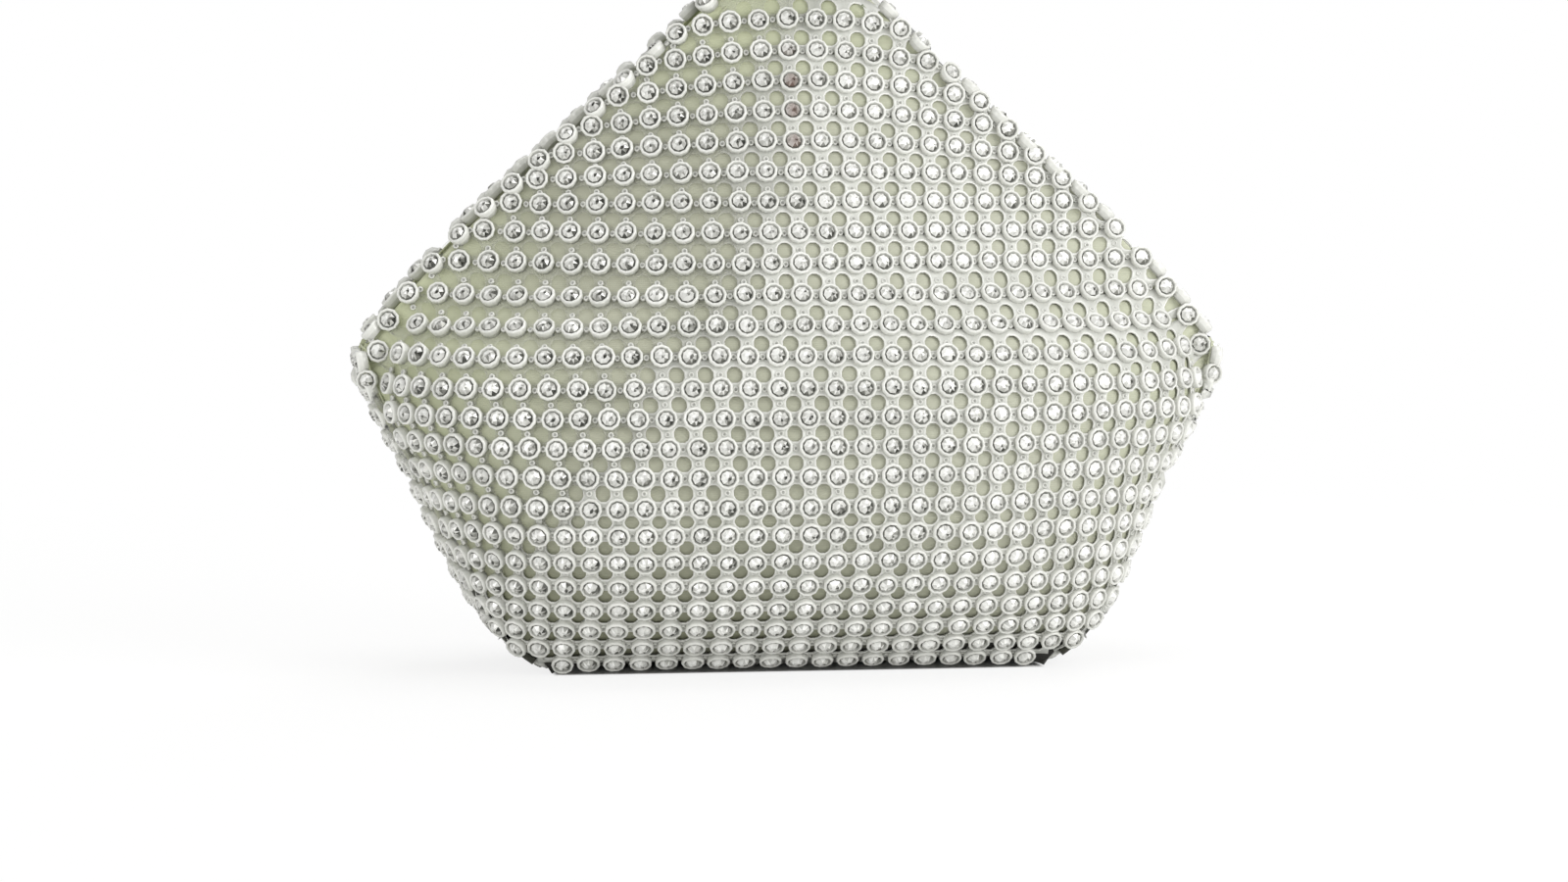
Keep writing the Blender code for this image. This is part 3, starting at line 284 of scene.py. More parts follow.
def drooped(arc, row):
    """Height of a point of the mesh: its row's height less the sag of the top rows' ends."""
    z = np.interp(row, CLIMB, TABLE_Z)
    sag = DROOP * np.maximum((z - DROOP_HEIGHT) / DROOP_SPAN, 0.0) ** 1.5
    return np.clip(z - sag * arc ** 2 / 2, 0.0, TABLE_TOP)


def front_point(arc, row):
    """Point of the front's outer surface.

    arc is the length across the mesh from the middle line and row the length up that line. Past
    the fold line the surface turns over the shoulder on a roll of radius ROLL whose axis keeps
    inside the edge, by the angle (length past the fold, square to it) / ROLL. At the widest
    tips the face turns back by n * n / (3 * TIP_TURN), n being how far inside its last TIP_TURN.
    """
    arc = gathered(arc, row)
    z = drooped(arc, row)
    over = np.maximum(np.abs(arc) - fold_arc(arc, z), 0.0)
    x = x_at(arc, z)
    tip = ease(z, *TIP_START) * (1 - ease(z, *TIP_END))
    near = np.maximum(np.abs(x) - half_width(z) + TIP_TURN, 0.0)
    y = tip * near ** 2 / (3 * TIP_TURN) - face_depth(x, z)
    slope = np.interp(z, TABLE_Z, SLOPE_AT)
    out_x = 1 / np.hypot(1, slope)
    out_z = slope / np.hypot(1, slope)
    angle = over * out_x / ROLL
    foot = z - over * out_x * out_z + ROLL * out_z
    rise = ROLL * (np.sin(angle) - 1)
    x_roll = half_width(foot) + rise * out_x
    y_roll = -(edge_half_depth(np.minimum(foot, z)) - ROLL + ROLL * np.cos(angle))
    part = ease(z, WIDEST_HEIGHT - ROLL, WIDEST_HEIGHT + ROLL)
    x_past = np.sign(arc) * (half_width(z) * (1 - part) + x_roll * part)
    past = over > 0
    part = np.where(past, part, 0.0)
    return np.stack([np.where(past, x_past, x), y * (1 - part) + y_roll * part,
                     z * (1 - part) + (foot + rise * out_z) * part], axis=-1)


def back_point(arc, row):
    """The front's surface turned half round the middle of the bag."""
    return front_point(arc, row) * np.array([-1.0, -1.0, 1.0])


SIDE_CLIMB = np.concatenate([[0.0], np.cumsum(np.hypot(np.diff(TABLE_Z),
                                                       np.diff(half_width(TABLE_Z))))])


def side_point(side):
    """Outer surface of a side panel between the corner seams.

    It stands out by GORE_BULGE times a half sine up the panel times a parabola across it.
    """
    def point(arc, row):
        z = np.interp(row, SIDE_CLIMB, TABLE_Z)
        half = edge_half_depth(z)
        across = np.clip(arc / half, -1.0, 1.0)
        swell = GORE_BULGE * np.sin(np.pi * np.clip(z / WIDEST_HEIGHT, 0, 1)) * (1 - across ** 2)
        y = np.clip(arc, SEAM_ROOM - half, half - SEAM_ROOM)
        return np.stack([side * (half_width(z) + swell), side * y, z], axis=-1)
    return point


def base_point(arc, row):
    """The flat underside, seen from below."""
    return np.stack([-arc, row, np.zeros_like(arc)], axis=-1)


def hoop_point(arc, row):
    """Skin of the handle, a torus: row runs along its centre line, arc round its section."""
    angle = math.pi + CAP_LEAN - row / HOOP_RADIUS
    turn = arc / HOOP_SKIN
    reach = HOOP_RADIUS + HOOP_SKIN * np.cos(turn)
    return np.stack([reach * np.cos(angle), -HOOP_SKIN * np.sin(turn),
                     HOOP_CENTRE_Z + reach * np.sin(angle)], axis=-1)


NUDGE = 0.0002
FURTHER_IN = (0.94, 0.8, 0.5)


def unit(vectors):
    """Vectors shortened or lengthened to 1."""
    return vectors / np.linalg.norm(vectors, axis=-1, keepdims=True)


def axes_at(point, arc, row):
    """Point, and unit vectors across, up and out of the surface there, from small nudges.

    Past a seam the surface stands still, so the vector across comes from further in.
    """
    middle = point(arc, row)
    across = point(arc + NUDGE, row) - point(arc - NUDGE, row)
    for share in FURTHER_IN:
        still = np.linalg.norm(across, axis=-1, keepdims=True) < NUDGE / 10
        further = point(arc * share + NUDGE, row) - point(arc * share - NUDGE, row)
        across = np.where(still, further, across)
    up = point(arc, row + NUDGE) - point(arc, row - NUDGE)
    out = unit(np.cross(across, up))
    across = unit(across)
    return middle, across, np.cross(out, across), out


# Meshes

def new_object(name, points, faces, *finishes):
    """Mesh object from an array of points, a list of arrays of faces and its finishes."""
    mesh = bpy.data.meshes.new(name)
    mesh.from_pydata(np.asarray(points).reshape(-1, 3).tolist(), [],
                     [face for block in faces for face in np.asarray(block).tolist()])
    mesh.update()
    for finish in finishes:
        mesh.materials.append(finish)
    item = bpy.data.objects.new(name, mesh)
    bpy.context.scene.collection.objects.link(item)
    return item


def grid_quads(rows, columns, wrap=False):
    """Quads of a grid numbered row by row, closed into a tube if wrap."""
    cols = np.arange(columns if wrap else columns - 1)
    start = np.arange(rows - 1)[:, None] * columns
    a = (start + cols).ravel()
    b = (start + (cols + 1) % columns).ravel()
    return np.stack([a, b, b + columns, a + columns], axis=1)


def thicken(item, thickness):
    """Thicken a thin surface inwards."""
    solid = item.modifiers.new("thickness", "SOLIDIFY")
    solid.thickness = thickness
    solid.offset = -1.0


def sheet(name, points, finish, thickness):
    """Thin sheet over a grid of points, thickened inwards from it."""
    item = new_object(name, points, [grid_quads(*points.shape[:2])], finish)
    item.data.shade_smooth()
    thicken(item, thickness)
    return item


def tube(name, path, radius, finish, sides):
    """Round tube of a radius along a path of points, with flat ends."""
    tangent = unit(np.gradient(path, axis=0))
    no_path_runs_here = (0.0, 1.0, 0.02)
    normal = unit(np.cross(tangent, no_path_runs_here))
    side = np.cross(tangent, normal)
    angle = np.arange(sides) * math.tau / sides
    ring = normal[:, None] * np.cos(angle)[:, None] + side[:, None] * np.sin(angle)[:, None]
    end = np.arange(sides)
    faces = [grid_quads(len(path), sides, wrap=True), [end[::-1]], [(len(path) - 1) * sides + end]]
    item = new_object(name, path[:, None] + radius * ring, faces, finish)
    item.data.shade_smooth()
    return item


def keep_values(item, name, domain, values):
    """Keep a number for every point or face of a mesh, for the finishes to read."""
    layer = item.data.attributes.new(name, "FLOAT", domain)
    layer.data.foreach_set("value", values.astype(np.float32))


# Direction in a stone's plane towards which its facets get painted shade, a painted dark glint;
# facets the other way get a painted highlight
PAINTED_GLINT_ANGLE = math.radians(-35.0)


def facet_tones(shape, blocks, spin, random):
    """Tone of every facet of every copy: its block's own, a painted glint across the stone, and
    some luck.

    A facet gets painted shade the further it lies towards PAINTED_GLINT_ANGLE from the stone's
    middle, and a painted highlight the further it lies the other way.
    """
    tones = []
    for _, faces, tone, painted_glint, luck in blocks:
        middle = shape[faces].mean(axis=1)[:, :2] / MM
        turned = np.arctan2(middle[:, 1], middle[:, 0])[None, :] + spin[:, None]
        lean = np.cos(turned - PAINTED_GLINT_ANGLE) * np.hypot(middle[:, 0], middle[:, 1])[None, :]
        tones.append(tone - painted_glint * lean + luck * (random.random(lean.shape) - 0.5))
    return np.concatenate([block.ravel() for block in tones])


def scatter(name, small, point, arc, row, spin, finishes, scale=1.0):
    """Copies of a small shape set on a surface, as one mesh.

    small is (points, blocks); a block is (material slot, faces, tone, painted glint, luck). A
    copy's x runs across the surface, its y up it and its z out of it, and it is turned about z by
    spin.
    The "shade" attribute keeps each copy's random shade, and "facet" each facet's tone, which holds
    painted glints and highlights on stones and painted shade in the recesses of cups and knots.
    """
    shape, blocks = small
    middle, across, up, out = axes_at(point, arc, row)
    c, s = np.cos(spin)[:, None], np.sin(spin)[:, None]
    px = shape[None, :, 0] * c - shape[None, :, 1] * s
    py = shape[None, :, 0] * s + shape[None, :, 1] * c
    scale = np.broadcast_to(scale, len(middle))[:, None, None]
    points = (middle[:, None] + across[:, None] * px[..., None] * scale
              + up[:, None] * py[..., None] * scale
              + out[:, None] * shape[None, :, 2, None] * scale)
    count = len(middle)
    offset = np.arange(count)[:, None, None] * len(shape)
    faces = [(block[1][None] + offset).reshape(-1, block[1].shape[1]) for block in blocks]
    item = new_object(name, points, faces, *finishes)
    slots = np.concatenate([np.full(len(block[1]) * count, block[0]) for block in blocks])
    item.data.polygons.foreach_set("material_index", slots.astype(np.int32))
    item.data.polygons.foreach_set("use_smooth", slots == len(finishes) - 1)
    random = np.random.default_rng(len(name) * SHADE_SEED + count)
    keep_values(item, "shade", "POINT", np.repeat(random.random(count), len(shape)))
    tones = facet_tones(shape, blocks, spin, random)
    keep_values(item, "facet", "FACE", np.clip(tones, 0.0, 1.0))
    return item


# Shader graphs

class Field:
    """Socket whose value varies over a surface. Sums and products of fields add Math nodes."""

    def __init__(self, finish, socket):
        self.finish = finish
        self.socket = socket

    def math(self, operation, *values):
        inputs = dict(enumerate((self,) + values))
        return self.finish.node("ShaderNodeMath", inputs, operation=operation)

    def clamp(self, low=0.0, high=1.0):
        return self.math("MAXIMUM", low).math("MINIMUM", high)

    def __add__(self, other):
        return self.math("ADD", other)

    def __sub__(self, other):
        return self.math("SUBTRACT", other)

    def __rsub__(self, other):
        return self.finish.node("ShaderNodeMath", {0: other, 1: self}, operation="SUBTRACT")

    def __mul__(self, other):
        return self.math("MULTIPLY", other)


class Finish:
    """One surface finish: a Principled material whose varying inputs are fields."""

    def __init__(self, name, **uniform):
        self.material = bpy.data.materials.new(name)
        self.material.use_nodes = True
        self.tree = self.material.node_tree
        self.shader = self.tree.nodes["Principled BSDF"]
        for socket, value in uniform.items():
            self.set(self.shader, socket.replace("_", " "), value)

    def set(self, node, key, value):
        """Put a value or a link into a node's socket."""
        socket = node.inputs[key]
        if isinstance(value, Field):
            self.tree.links.new(value.socket, socket)
        elif socket.type == "RGBA" and len(value) == 3:
            socket.default_value = (*value, 1.0)
        else:
            socket.default_value = value

    def node(self, kind, inputs=None, out=0, stops=None, **settings):
        """Any node: its settings first, then its sockets; returns one output as a field."""
        made = self.tree.nodes.new(kind)
        for key, value in settings.items():
            setattr(made, key, value)
        if stops:
            ramp = made.color_ramp
            while len(ramp.elements) < len(stops):
                ramp.elements.new(1.0)
            for element, (place, colour) in zip(ramp.elements, stops):
                element.position = place
                element.color = (*colour, 1.0)
        for key, value in (inputs or {}).items():
            self.set(made, key, value)
        return Field(self, made.outputs[out])

    def feed(self, **fields):
        """Link fields to the shader's sockets."""
        for socket, value in fields.items():
            self.set(self.shader, socket.replace("_", " "), value)
        return self

    def place(self):
        return self.node("ShaderNodeTexCoord", out=3)

    def axis(self, index):
        return self.node("ShaderNodeSeparateXYZ", {0: self.place()}, out=index)

    def attribute(self, name):
        return self.node("ShaderNodeAttribute", out=2, attribute_name=name)

    def noise(self, scale, detail=3.0, vector=None):
        return self.node("ShaderNodeTexNoise", {"Vector": vector or self.place(), "Scale": scale,
                                                "Detail": detail})

    def ramp(self, field, *stops):
        return self.node("ShaderNodeValToRGB", {0: field}, stops=stops)

    def mix(self, factor, a, b):
        """Two colours mixed by a field."""
        return self.node("ShaderNodeMix", {0: factor, 6: a, 7: b}, out=2, data_type="RGBA")

    def finished(self, colour, roughness, height, distance, strength=1.0):
        """The material, once it has its colour, roughness and relief."""
        normal = self.node("ShaderNodeBump", {"Height": height, "Distance": distance,
                                              "Strength": strength})
        return self.feed(Base_Color=colour, Roughness=roughness, Normal=normal).material


def wave(finish, coordinate, count):
    """Smooth ripple from 0 to 1 with count full turns in each unit of the coordinate."""
    return (coordinate * (count * math.tau)).math("SINE") * 0.5 + 0.5


def crystal_finish():
    """Clear faceted stone over foil, with a tone for each facet that holds painted glints and
    highlights, painted light that makes stones lighter to the right, and a few that have lost their
    foil.
    """
    f = Finish("crystal", Roughness=0.08, IOR=1.6, Coat_Weight=0.35, Coat_Roughness=0.03)
    facet = f.attribute("facet")
    shade = f.attribute("shade")
    tone = facet + (shade - 0.5) * 0.16
    # Painted light: stones lighter to the right, where the light falls
    tone = tone + (f.axis(0) * 0.9).clamp(-0.03, 0.07)
    colour = f.ramp(tone, (0.0, (0.05, 0.052, 0.044)), (0.14, (0.17, 0.17, 0.15)),
                    (0.30, (0.44, 0.44, 0.41)), (0.56, (0.66, 0.66, 0.63)),
                    (1.0, (0.88, 0.88, 0.85)))
    worn_x, worn_z = -0.0016, 0.126
    near = 1.0 - (f.axis(0) - worn_x).math("ABSOLUTE") * 250.0
    high = 1.0 - (f.axis(2) - worn_z).math("ABSOLUTE") * 70.0
    bare = near.math("MINIMUM", high * 2.0).clamp()
    colour = f.mix(bare * 0.7, colour, (0.17, 0.095, 0.075))
    metal = f.ramp(facet, (0.0, (0.7,) * 3), (0.35, (0.3,) * 3), (1.0, (0.05,) * 3))
    return f.feed(Base_Color=colour, Metallic=metal).material


def cup_finish():
    """White moulded cup with a rounded rim and uneven gloss; painted shade darkens its walls and
    the groove inside the rim, darkest deep in the groove, so the rim's top looks brightest.
    """
    f = Finish("cup", IOR=1.5, Coat_Weight=0.3, Coat_Roughness=0.12)
    shade = f.attribute("shade")
    blotch = f.noise(260.0)
    bright = f.mix(shade * 0.5 + blotch * 0.5, (0.66, 0.665, 0.62), (0.83, 0.83, 0.79))
    # Painted shade: each band of the cup goes from this grey to the bright colour by its tone
    colour = f.mix(f.attribute("facet"), (0.34, 0.345, 0.31), bright)
    return f.finished(colour, blotch * 0.25 + 0.18, f.noise(900.0), 0.00004)


def painted_reflection_zone(f):
    """Where the net gets a painted reflection that makes it look white: right of a bent line,
    broken up by noise, and at the neck.
    """
    x, z = f.axis(0), f.axis(2)
    low_z, high_z, neck_z = 0.019, 0.075, 0.150
    low = (z - low_z) * 0.86 - 0.071
    high = (z - high_z) * 0.32 - 0.022
    edge = low.math("MINIMUM", high)
    ragged = f.noise(46.0, 2.0) * 0.030 - 0.015
    right = ((x - edge + ragged) * 70.0 + 0.5).math("MAXIMUM", (z - neck_z) * 200.0)
    return right.clamp()


def net_finish():
    """Clear moulded net, turned whitish over most of the bag by a painted reflection, with painted
    highlights round its holes.
    """
    f = Finish("net", IOR=1.45, Coat_Weight=0.35, Coat_Roughness=0.15)
    cloud = f.noise(75.0, 3.0)
    lip = f.attribute("lip")
    flat = f.mix(cloud, (0.58, 0.59, 0.54), (0.74, 0.745, 0.70))
    # Painted highlight: white outlines on the raised rims round the holes
    colour = f.mix(lip * 0.9, flat, (0.82, 0.82, 0.785))
    # Painted reflection: the net turns opaque and whitish where it would reflect the light
    white = painted_reflection_zone(f)
    alpha = white * 0.76 + lip * white * 0.2 + cloud * 0.12 + 0.04
    f.feed(Alpha=alpha.math("MINIMUM", 0.96))
    return f.finished(colour, cloud * 0.2 + 0.2, f.noise(700.0), 0.00004)


def satin_finish():
    """Sage satin with a fine rib and cloudy sheen, greener to the edges, with painted light paler
    to the right and painted shade dark low down.
    """
    f = Finish("satin", IOR=1.45, Sheen_Weight=0.25, Sheen_Roughness=0.4,
               Sheen_Tint=(0.93, 0.95, 0.86))
    x, z = f.axis(0), f.axis(2)
    warp = wave(f, x + f.axis(1), 3600.0)
    weft = wave(f, z, 2400.0)
    thread = warp * 0.35 + weft * 0.65
    cloud = f.noise(38.0, 4.0)
    tint = f.mix(cloud * 0.7 + thread * 0.25, (0.345, 0.352, 0.268), (0.500, 0.505, 0.395))
    green_x, green_z, low_z, shade_foot_z = 0.050, 0.118, 0.004, 0.0042
    out = ((x.math("ABSOLUTE") - green_x) * 26.0).math("MAXIMUM", (z - green_z) * 34.0)
    tint = f.mix(out.clamp() * 0.70, tint, (0.50, 0.535, 0.33))
    # Painted shade: the satin darkens towards the bottom of the bag
    low = (1.0 - (z - low_z) * 24.0).clamp()
    tint = f.mix(low * 0.8, tint, (0.20, 0.205, 0.125))
    # Painted light: the satin turns paler to the right, where the light falls
    right = (x * 8.0 + 0.10).clamp(high=0.5)
    tint = f.mix(right, tint, (0.62, 0.63, 0.515))
    # Painted shade: near-black at the foot, leaning with x, where the bag meets the floor
    foot = (1.0 - (z - shade_foot_z - x * 0.035) * 260.0).clamp()
    tint = f.mix(foot, tint, (0.012, 0.011, 0.008))
    return f.finished(tint, cloud * 0.18 + 0.36, thread + f.noise(1500.0) * 0.4, 0.00004)


def seam_finish():
    """Corner welts: painted shade makes them near-black in the creases low down; plain satin where
    the seams open out above.
    """
    f = Finish("seam", IOR=1.45, Sheen_Weight=0.15)
    z = f.axis(2)
    twist = wave(f, z, 900.0)
    cloud = f.noise(90.0)
    plain = f.mix(cloud, (0.30, 0.31, 0.22), (0.42, 0.43, 0.32))
    # Painted shade: the welts are near-black below this height
    shade_top_z = 0.018
    tint = f.mix(((z - shade_top_z) * 60.0).clamp(high=0.8), (0.035, 0.036, 0.024), plain)
    return f.finished(tint, cloud * 0.2 + 0.45, twist, 0.00008)


def lining_finish():
    """Plain weave lining cloth, matt, with uneven threads."""
    f = Finish("lining", IOR=1.4, Sheen_Weight=0.15, Sheen_Roughness=0.5)
    x, z = f.axis(0), f.axis(2)
    over = wave(f, x, 1800.0)
    under = wave(f, z, 1800.0)
    weave = (over - under).math("ABSOLUTE")
    slub = f.noise(420.0)
    tint = f.mix(weave * 0.5 + slub * 0.4, (0.30, 0.32, 0.24), (0.46, 0.48, 0.39))
    return f.finished(tint, slub * 0.2 + 0.62, weave, 0.00006)


def tape_finish():
    """Zip tape: a herringbone weave in two directions, matt."""
    f = Finish("zip_tape", IOR=1.4, Sheen_Weight=0.2, Sheen_Roughness=0.6)
    x, y, z = (f.axis(i) for i in range(3))
    leg = wave(f, y, 420.0)
    twill = wave(f, x - z + leg * 0.0012, 1100.0)
    tint = f.mix(twill, (0.24, 0.27, 0.18), (0.40, 0.43, 0.32))
    return f.finished(tint, twill * 0.1 + 0.65, twill, 0.00006)


def silver_finish():
    """Polished plate with faint rubbing marks and a few fine scratches."""
    f = Finish("silver", Metallic=1.0)
    rub = f.noise(120.0, 5.0)
    stretched = f.node("ShaderNodeMapping", {0: f.place(), 3: (60.0, 900.0, 900.0)})
    hair = f.noise(1.0, 2.0, stretched)
    tint = f.mix(rub, (0.42, 0.425, 0.425), (0.56, 0.56, 0.55))
    return f.finished(tint, rub * 0.12 + hair * 0.10 + 0.20, hair, 0.00002, 0.4)


def nylon_finish():
    """Smooth moulded nylon with a slight bloom."""
    f = Finish("nylon", IOR=1.53)
    bloom = f.noise(300.0)
    tint = f.mix(bloom, (0.62, 0.64, 0.57), (0.74, 0.75, 0.69))
    return f.finished(tint, bloom * 0.2 + 0.3, f.noise(1200.0), 0.00003)


def board_finish():
    """Dense grey card, fibrous."""
    f = Finish("board", IOR=1.4)
    fibre = f.noise(900.0, 6.0)
    tint = f.mix(fibre, (0.15, 0.14, 0.12), (0.27, 0.25, 0.22))
    return f.finished(tint, fibre * 0.15 + 0.75, fibre, 0.0001)


CRYSTAL = crystal_finish()
CUP = cup_finish()
NET = net_finish()
SATIN = satin_finish()
SEAM = seam_finish()
LINING = lining_finish()
TAPE = tape_finish()
SILVER = silver_finish()
NYLON = nylon_finish()
BOARD = board_finish()


# Unit shapes, in mm: rings of points as radius and height, and a stone's also with its phase
STONE_SIDES = 8
TABLE_HEIGHT = -0.12
STONE_RINGS = ((0.82, -0.16, 0.0), (1.62, -0.95, 0.5), (1.62, -1.55, 0.5))
CUP_SIDES = 10
CUP_RINGS = ((2.25, -3.2), (2.50, -2.1), (2.60, -1.10), (2.36, -0.62), (2.04, -0.78),
             (1.80, -1.30), (1.66, -1.62))
# How much of the cup's bright colour each band keeps, outer wall to groove; lower tones are painted
# shade
CUP_PAINTED_SHADE_TONES = (0.55, 0.85, 1.0, 0.95, 0.45, 0.1)
KNOT_SIDES = 7
KNOT_RINGS = ((0.74, -0.3), (0.66, 0.24), (0.44, 0.32), (0.26, 0.02))

# Tone, painted glint and luck of a stone's kinds of facets; the painted glint darkens facets
# towards PAINTED_GLINT_ANGLE and lightens those away from it
TABLE_TONES = (0.55, 0.75, 0.5)
STAR_TONES = (0.62, 0.20, 0.6)
KITE_TONES = (0.55, 0.22, 0.7)
GIRDLE_TONES = (0.4, 0.1, 0.2)
BACK_TONES = (0.2, 0.0, 0.0)

# Rings of a net's cell, from its hole to its square
LIP_GROWTH = (0.0, 0.00022, 0.00045)
LIP_HEIGHTS = (-0.00015, 0.00012, 0.0, 0.0)
# Painted highlight on each ring: brightest along the raised rim round the hole, none out at the
# square
LIP_HIGHLIGHT_TONES = (0.7, 1.0, 0.25, 0.0)


def ring_points(radius, height, count, phase=0.0):
    """Ring of points at a height, starting at a phase in steps."""
    angle = (np.arange(count) + phase) * math.tau / count
    return np.stack([radius * np.cos(angle), radius * np.sin(angle),
                     np.full(count, height)], axis=1)


def crystal_unit():
    """Stone in its cup. Stone: a table of eight facets, and sixteen more from it to the girdle."""
    stone = [np.array([[0.0, 0.0, TABLE_HEIGHT]])]
    stone += [ring_points(r, h, STONE_SIDES, phase) for r, h, phase in STONE_RINGS]
    cup = [ring_points(r, h, CUP_SIDES) for r, h in CUP_RINGS]
    edge, rim, back, first = (1 + STONE_SIDES * k for k in range(4))
    i = np.arange(STONE_SIDES)
    after = (i + 1) % STONE_SIDES
    before = (i - 1) % STONE_SIDES
    table = np.stack([np.zeros(STONE_SIDES, int), edge + i, edge + after], axis=1)
    stars = np.stack([edge + i, rim + i, edge + after], axis=1)
    kites = np.stack([edge + i, rim + before, rim + i], axis=1)
    girdle = np.stack([rim + i, back + i, back + after, rim + after], axis=1)
    blocks = [(0, table, *TABLE_TONES), (0, stars, *STAR_TONES), (0, kites, *KITE_TONES),
              (0, girdle, *GIRDLE_TONES), (0, back + i[None, ::-1], *BACK_TONES)]
    for k, tone in enumerate(CUP_PAINTED_SHADE_TONES):
        band = grid_quads(2, CUP_SIDES, wrap=True) + first + k * CUP_SIDES
        blocks.append((1, band, tone, 0.0, 0.0))
    turn = np.arange(CUP_SIDES)
    ends = first + np.stack([turn[::-1], len(CUP_PAINTED_SHADE_TONES) * CUP_SIDES + turn])
    blocks.append((1, ends, CUP_PAINTED_SHADE_TONES[-1], 0.0, 0.0))
    return np.concatenate(stone + cup) * MM, blocks


def knot_unit():
    """Little ring on a bridge of the net: a collar with a dimple, whose wall and floor get dark
    tones as painted shade.
    """
    points = np.concatenate([ring_points(r, h, KNOT_SIDES) for r, h in KNOT_RINGS])
    quads = grid_quads(len(KNOT_RINGS), KNOT_SIDES, wrap=True)
    collar = 2 * KNOT_SIDES
    turn = np.arange(KNOT_SIDES)[None]
    top = (len(KNOT_RINGS) - 1) * KNOT_SIDES + turn
    # Tones: pale collar, painted shade on the dimple's wall, and darkest painted shade on its floor
    return points * MM, [(0, quads[:collar], 0.9, 0.0, 0.0), (0, quads[collar:], 0.4, 0.0, 0.0),
                         (0, turn[:, ::-1], 0.3, 0.0, 0.0), (0, top, 0.0, 0.0, 0.0)]


def net_template():
    """Square cell with a round lipped hole, in rings of 12 points."""
    side = np.array([-0.5, -1 / 6, 1 / 6, 0.5])
    bottom = np.stack([side[:3], np.full(3, -0.5)], axis=1)
    right = np.stack([np.full(3, 0.5), side[:3]], axis=1)
    square = np.concatenate([bottom, right, -bottom, -right])
    rings = [unit(square) * (HOLE_RADIUS + grow) / PITCH for grow in LIP_GROWTH] + [square]
    height = np.repeat(LIP_HEIGHTS, len(square))
    lip = np.repeat(LIP_HIGHLIGHT_TONES, len(square))
    quads = grid_quads(len(rings), len(square), wrap=True)[:, ::-1]
    return np.concatenate(rings), height, lip, quads


CRYSTAL_UNIT = crystal_unit()
KNOT_UNIT = knot_unit()
NET_CELL = net_template()


# Crystal mesh on a surface

def build_net(name, point, cells):
    """Net of square cells. cells is an array of (arc, row, width, height) of their middles."""
    flat, height, lip, quads = NET_CELL
    arc = cells[:, 0, None] + flat[None, :, 0] * cells[:, 2, None]
    row = cells[:, 1, None] + flat[None, :, 1] * cells[:, 3, None]
    middle, _, _, out = axes_at(point, arc, row)
    points = middle + out * (height[None, :, None] - NET_DROP)
    faces = (quads[None] + np.arange(len(cells))[:, None, None] * len(flat)).reshape(-1, 4)
    item = new_object(name, points, [faces], NET)
    # Painted highlight round each hole, kept for the net's finish
    keep_values(item, "lip", "POINT", np.tile(lip, len(cells)))
    weld = item.modifiers.new("weld", "WELD")
    weld.merge_threshold = WELD_DISTANCE
    thicken(item, NET_THICKNESS)
    item.data.shade_smooth()
    return item


def net_cells(arc, row, inside, pitch):
    """Middle, width and height of the net's cells: those with all four corners inside."""
    whole = np.ones(len(arc), bool)
    for across, up in ((0, 0), (1, 0), (0, 1), (1, 1)):
        whole &= inside(arc + across * pitch[0], row + up * pitch[1], NET_REACH)
    middle = np.stack([arc + pitch[0] / 2, row + pitch[1] / 2], axis=1)[whole]
    return np.concatenate([middle, np.broadcast_to(pitch, middle.shape)], axis=1)


def knot_places(arc, row, inside, pitch):
    """Lengths across and up of the knots, halfway between neighbouring stones."""
    keep = inside(arc, row, 0.0)
    beside = keep & inside(arc + pitch[0], row, 0.0)
    above = keep & inside(arc, row + pitch[1], 0.0)
    return (np.concatenate([arc[beside] + pitch[0] / 2, arc[above]]),
            np.concatenate([row[beside], row[above] + pitch[1] / 2]))


def net_surface(point):
    """The surface that the net lies on, NET_DROP under another."""
    def lowered(arc, row):
        middle, _, _, out = axes_at(point, arc, row)
        return middle - out * NET_DROP
    return lowered


def dress(name, point, arcs, rows, inside, body, nodes, pitch=(PITCH, ROW_PITCH), wobble=1.0):
    """Stones, knots and net over a surface, on the lattice of arcs and rows where inside."""
    arc, row = (v.ravel() for v in np.meshgrid(arcs, rows))
    random = np.random.default_rng(len(name) * LATTICE_SEED + len(arc))
    keep = inside(arc, row, 0.0)
    spin = random.random(len(arc)) * math.tau
    size = SMALLEST_STONE + SIZE_SPREAD * random.random(len(arc))
    jitter = (random.random((2, len(arc))) - 0.5) * JITTER * wobble
    stones = scatter("stones_" + name, CRYSTAL_UNIT, point, (arc + jitter[0])[keep],
                     (row + jitter[1])[keep], spin[keep], [CRYSTAL, CUP], size[keep])
    net = build_net("net_" + name, point, net_cells(arc, row, inside, pitch))
    knot_arc, knot_row = knot_places(arc, row, inside, pitch)
    knots = scatter("knots_" + name, KNOT_UNIT, net_surface(point), knot_arc, knot_row,
                    np.zeros(len(knot_arc)), [CUP])
    for piece in (stones, net, knots):
        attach(piece, body)
        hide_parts(*nodes)


def inside_front(arc, row, extra):
    """Where the front's lattice has a stone: within the seams, or a little over the shoulder.

    extra is how much further than the stones the net runs, towards the seams and the neck.
    """
    arc = gathered(arc, row)
    z = drooped(arc, row)
    over = np.abs(arc) - fold_arc(arc, z)
    at_seam, flare_cut, foot_cut, wrap = 0.0009, 0.0012, 0.0045, 0.0058
    spare = at_seam - flare_cut * ease(z, 0.048, 0.060) - foot_cut * (1 - ease(z, 0.0020, 0.0050))
    lower = (over < extra + spare) & (z <= WIDEST_HEIGHT)
    upper = (over * SLOPE_SIN < wrap) & (z > WIDEST_HEIGHT)
    level = (z < SHOULDER_TOP - NECK_ROOM + extra) & (row < CLIMB[-1] - TABLE_ROOM) & (row > -extra)
    return (lower | upper) & level


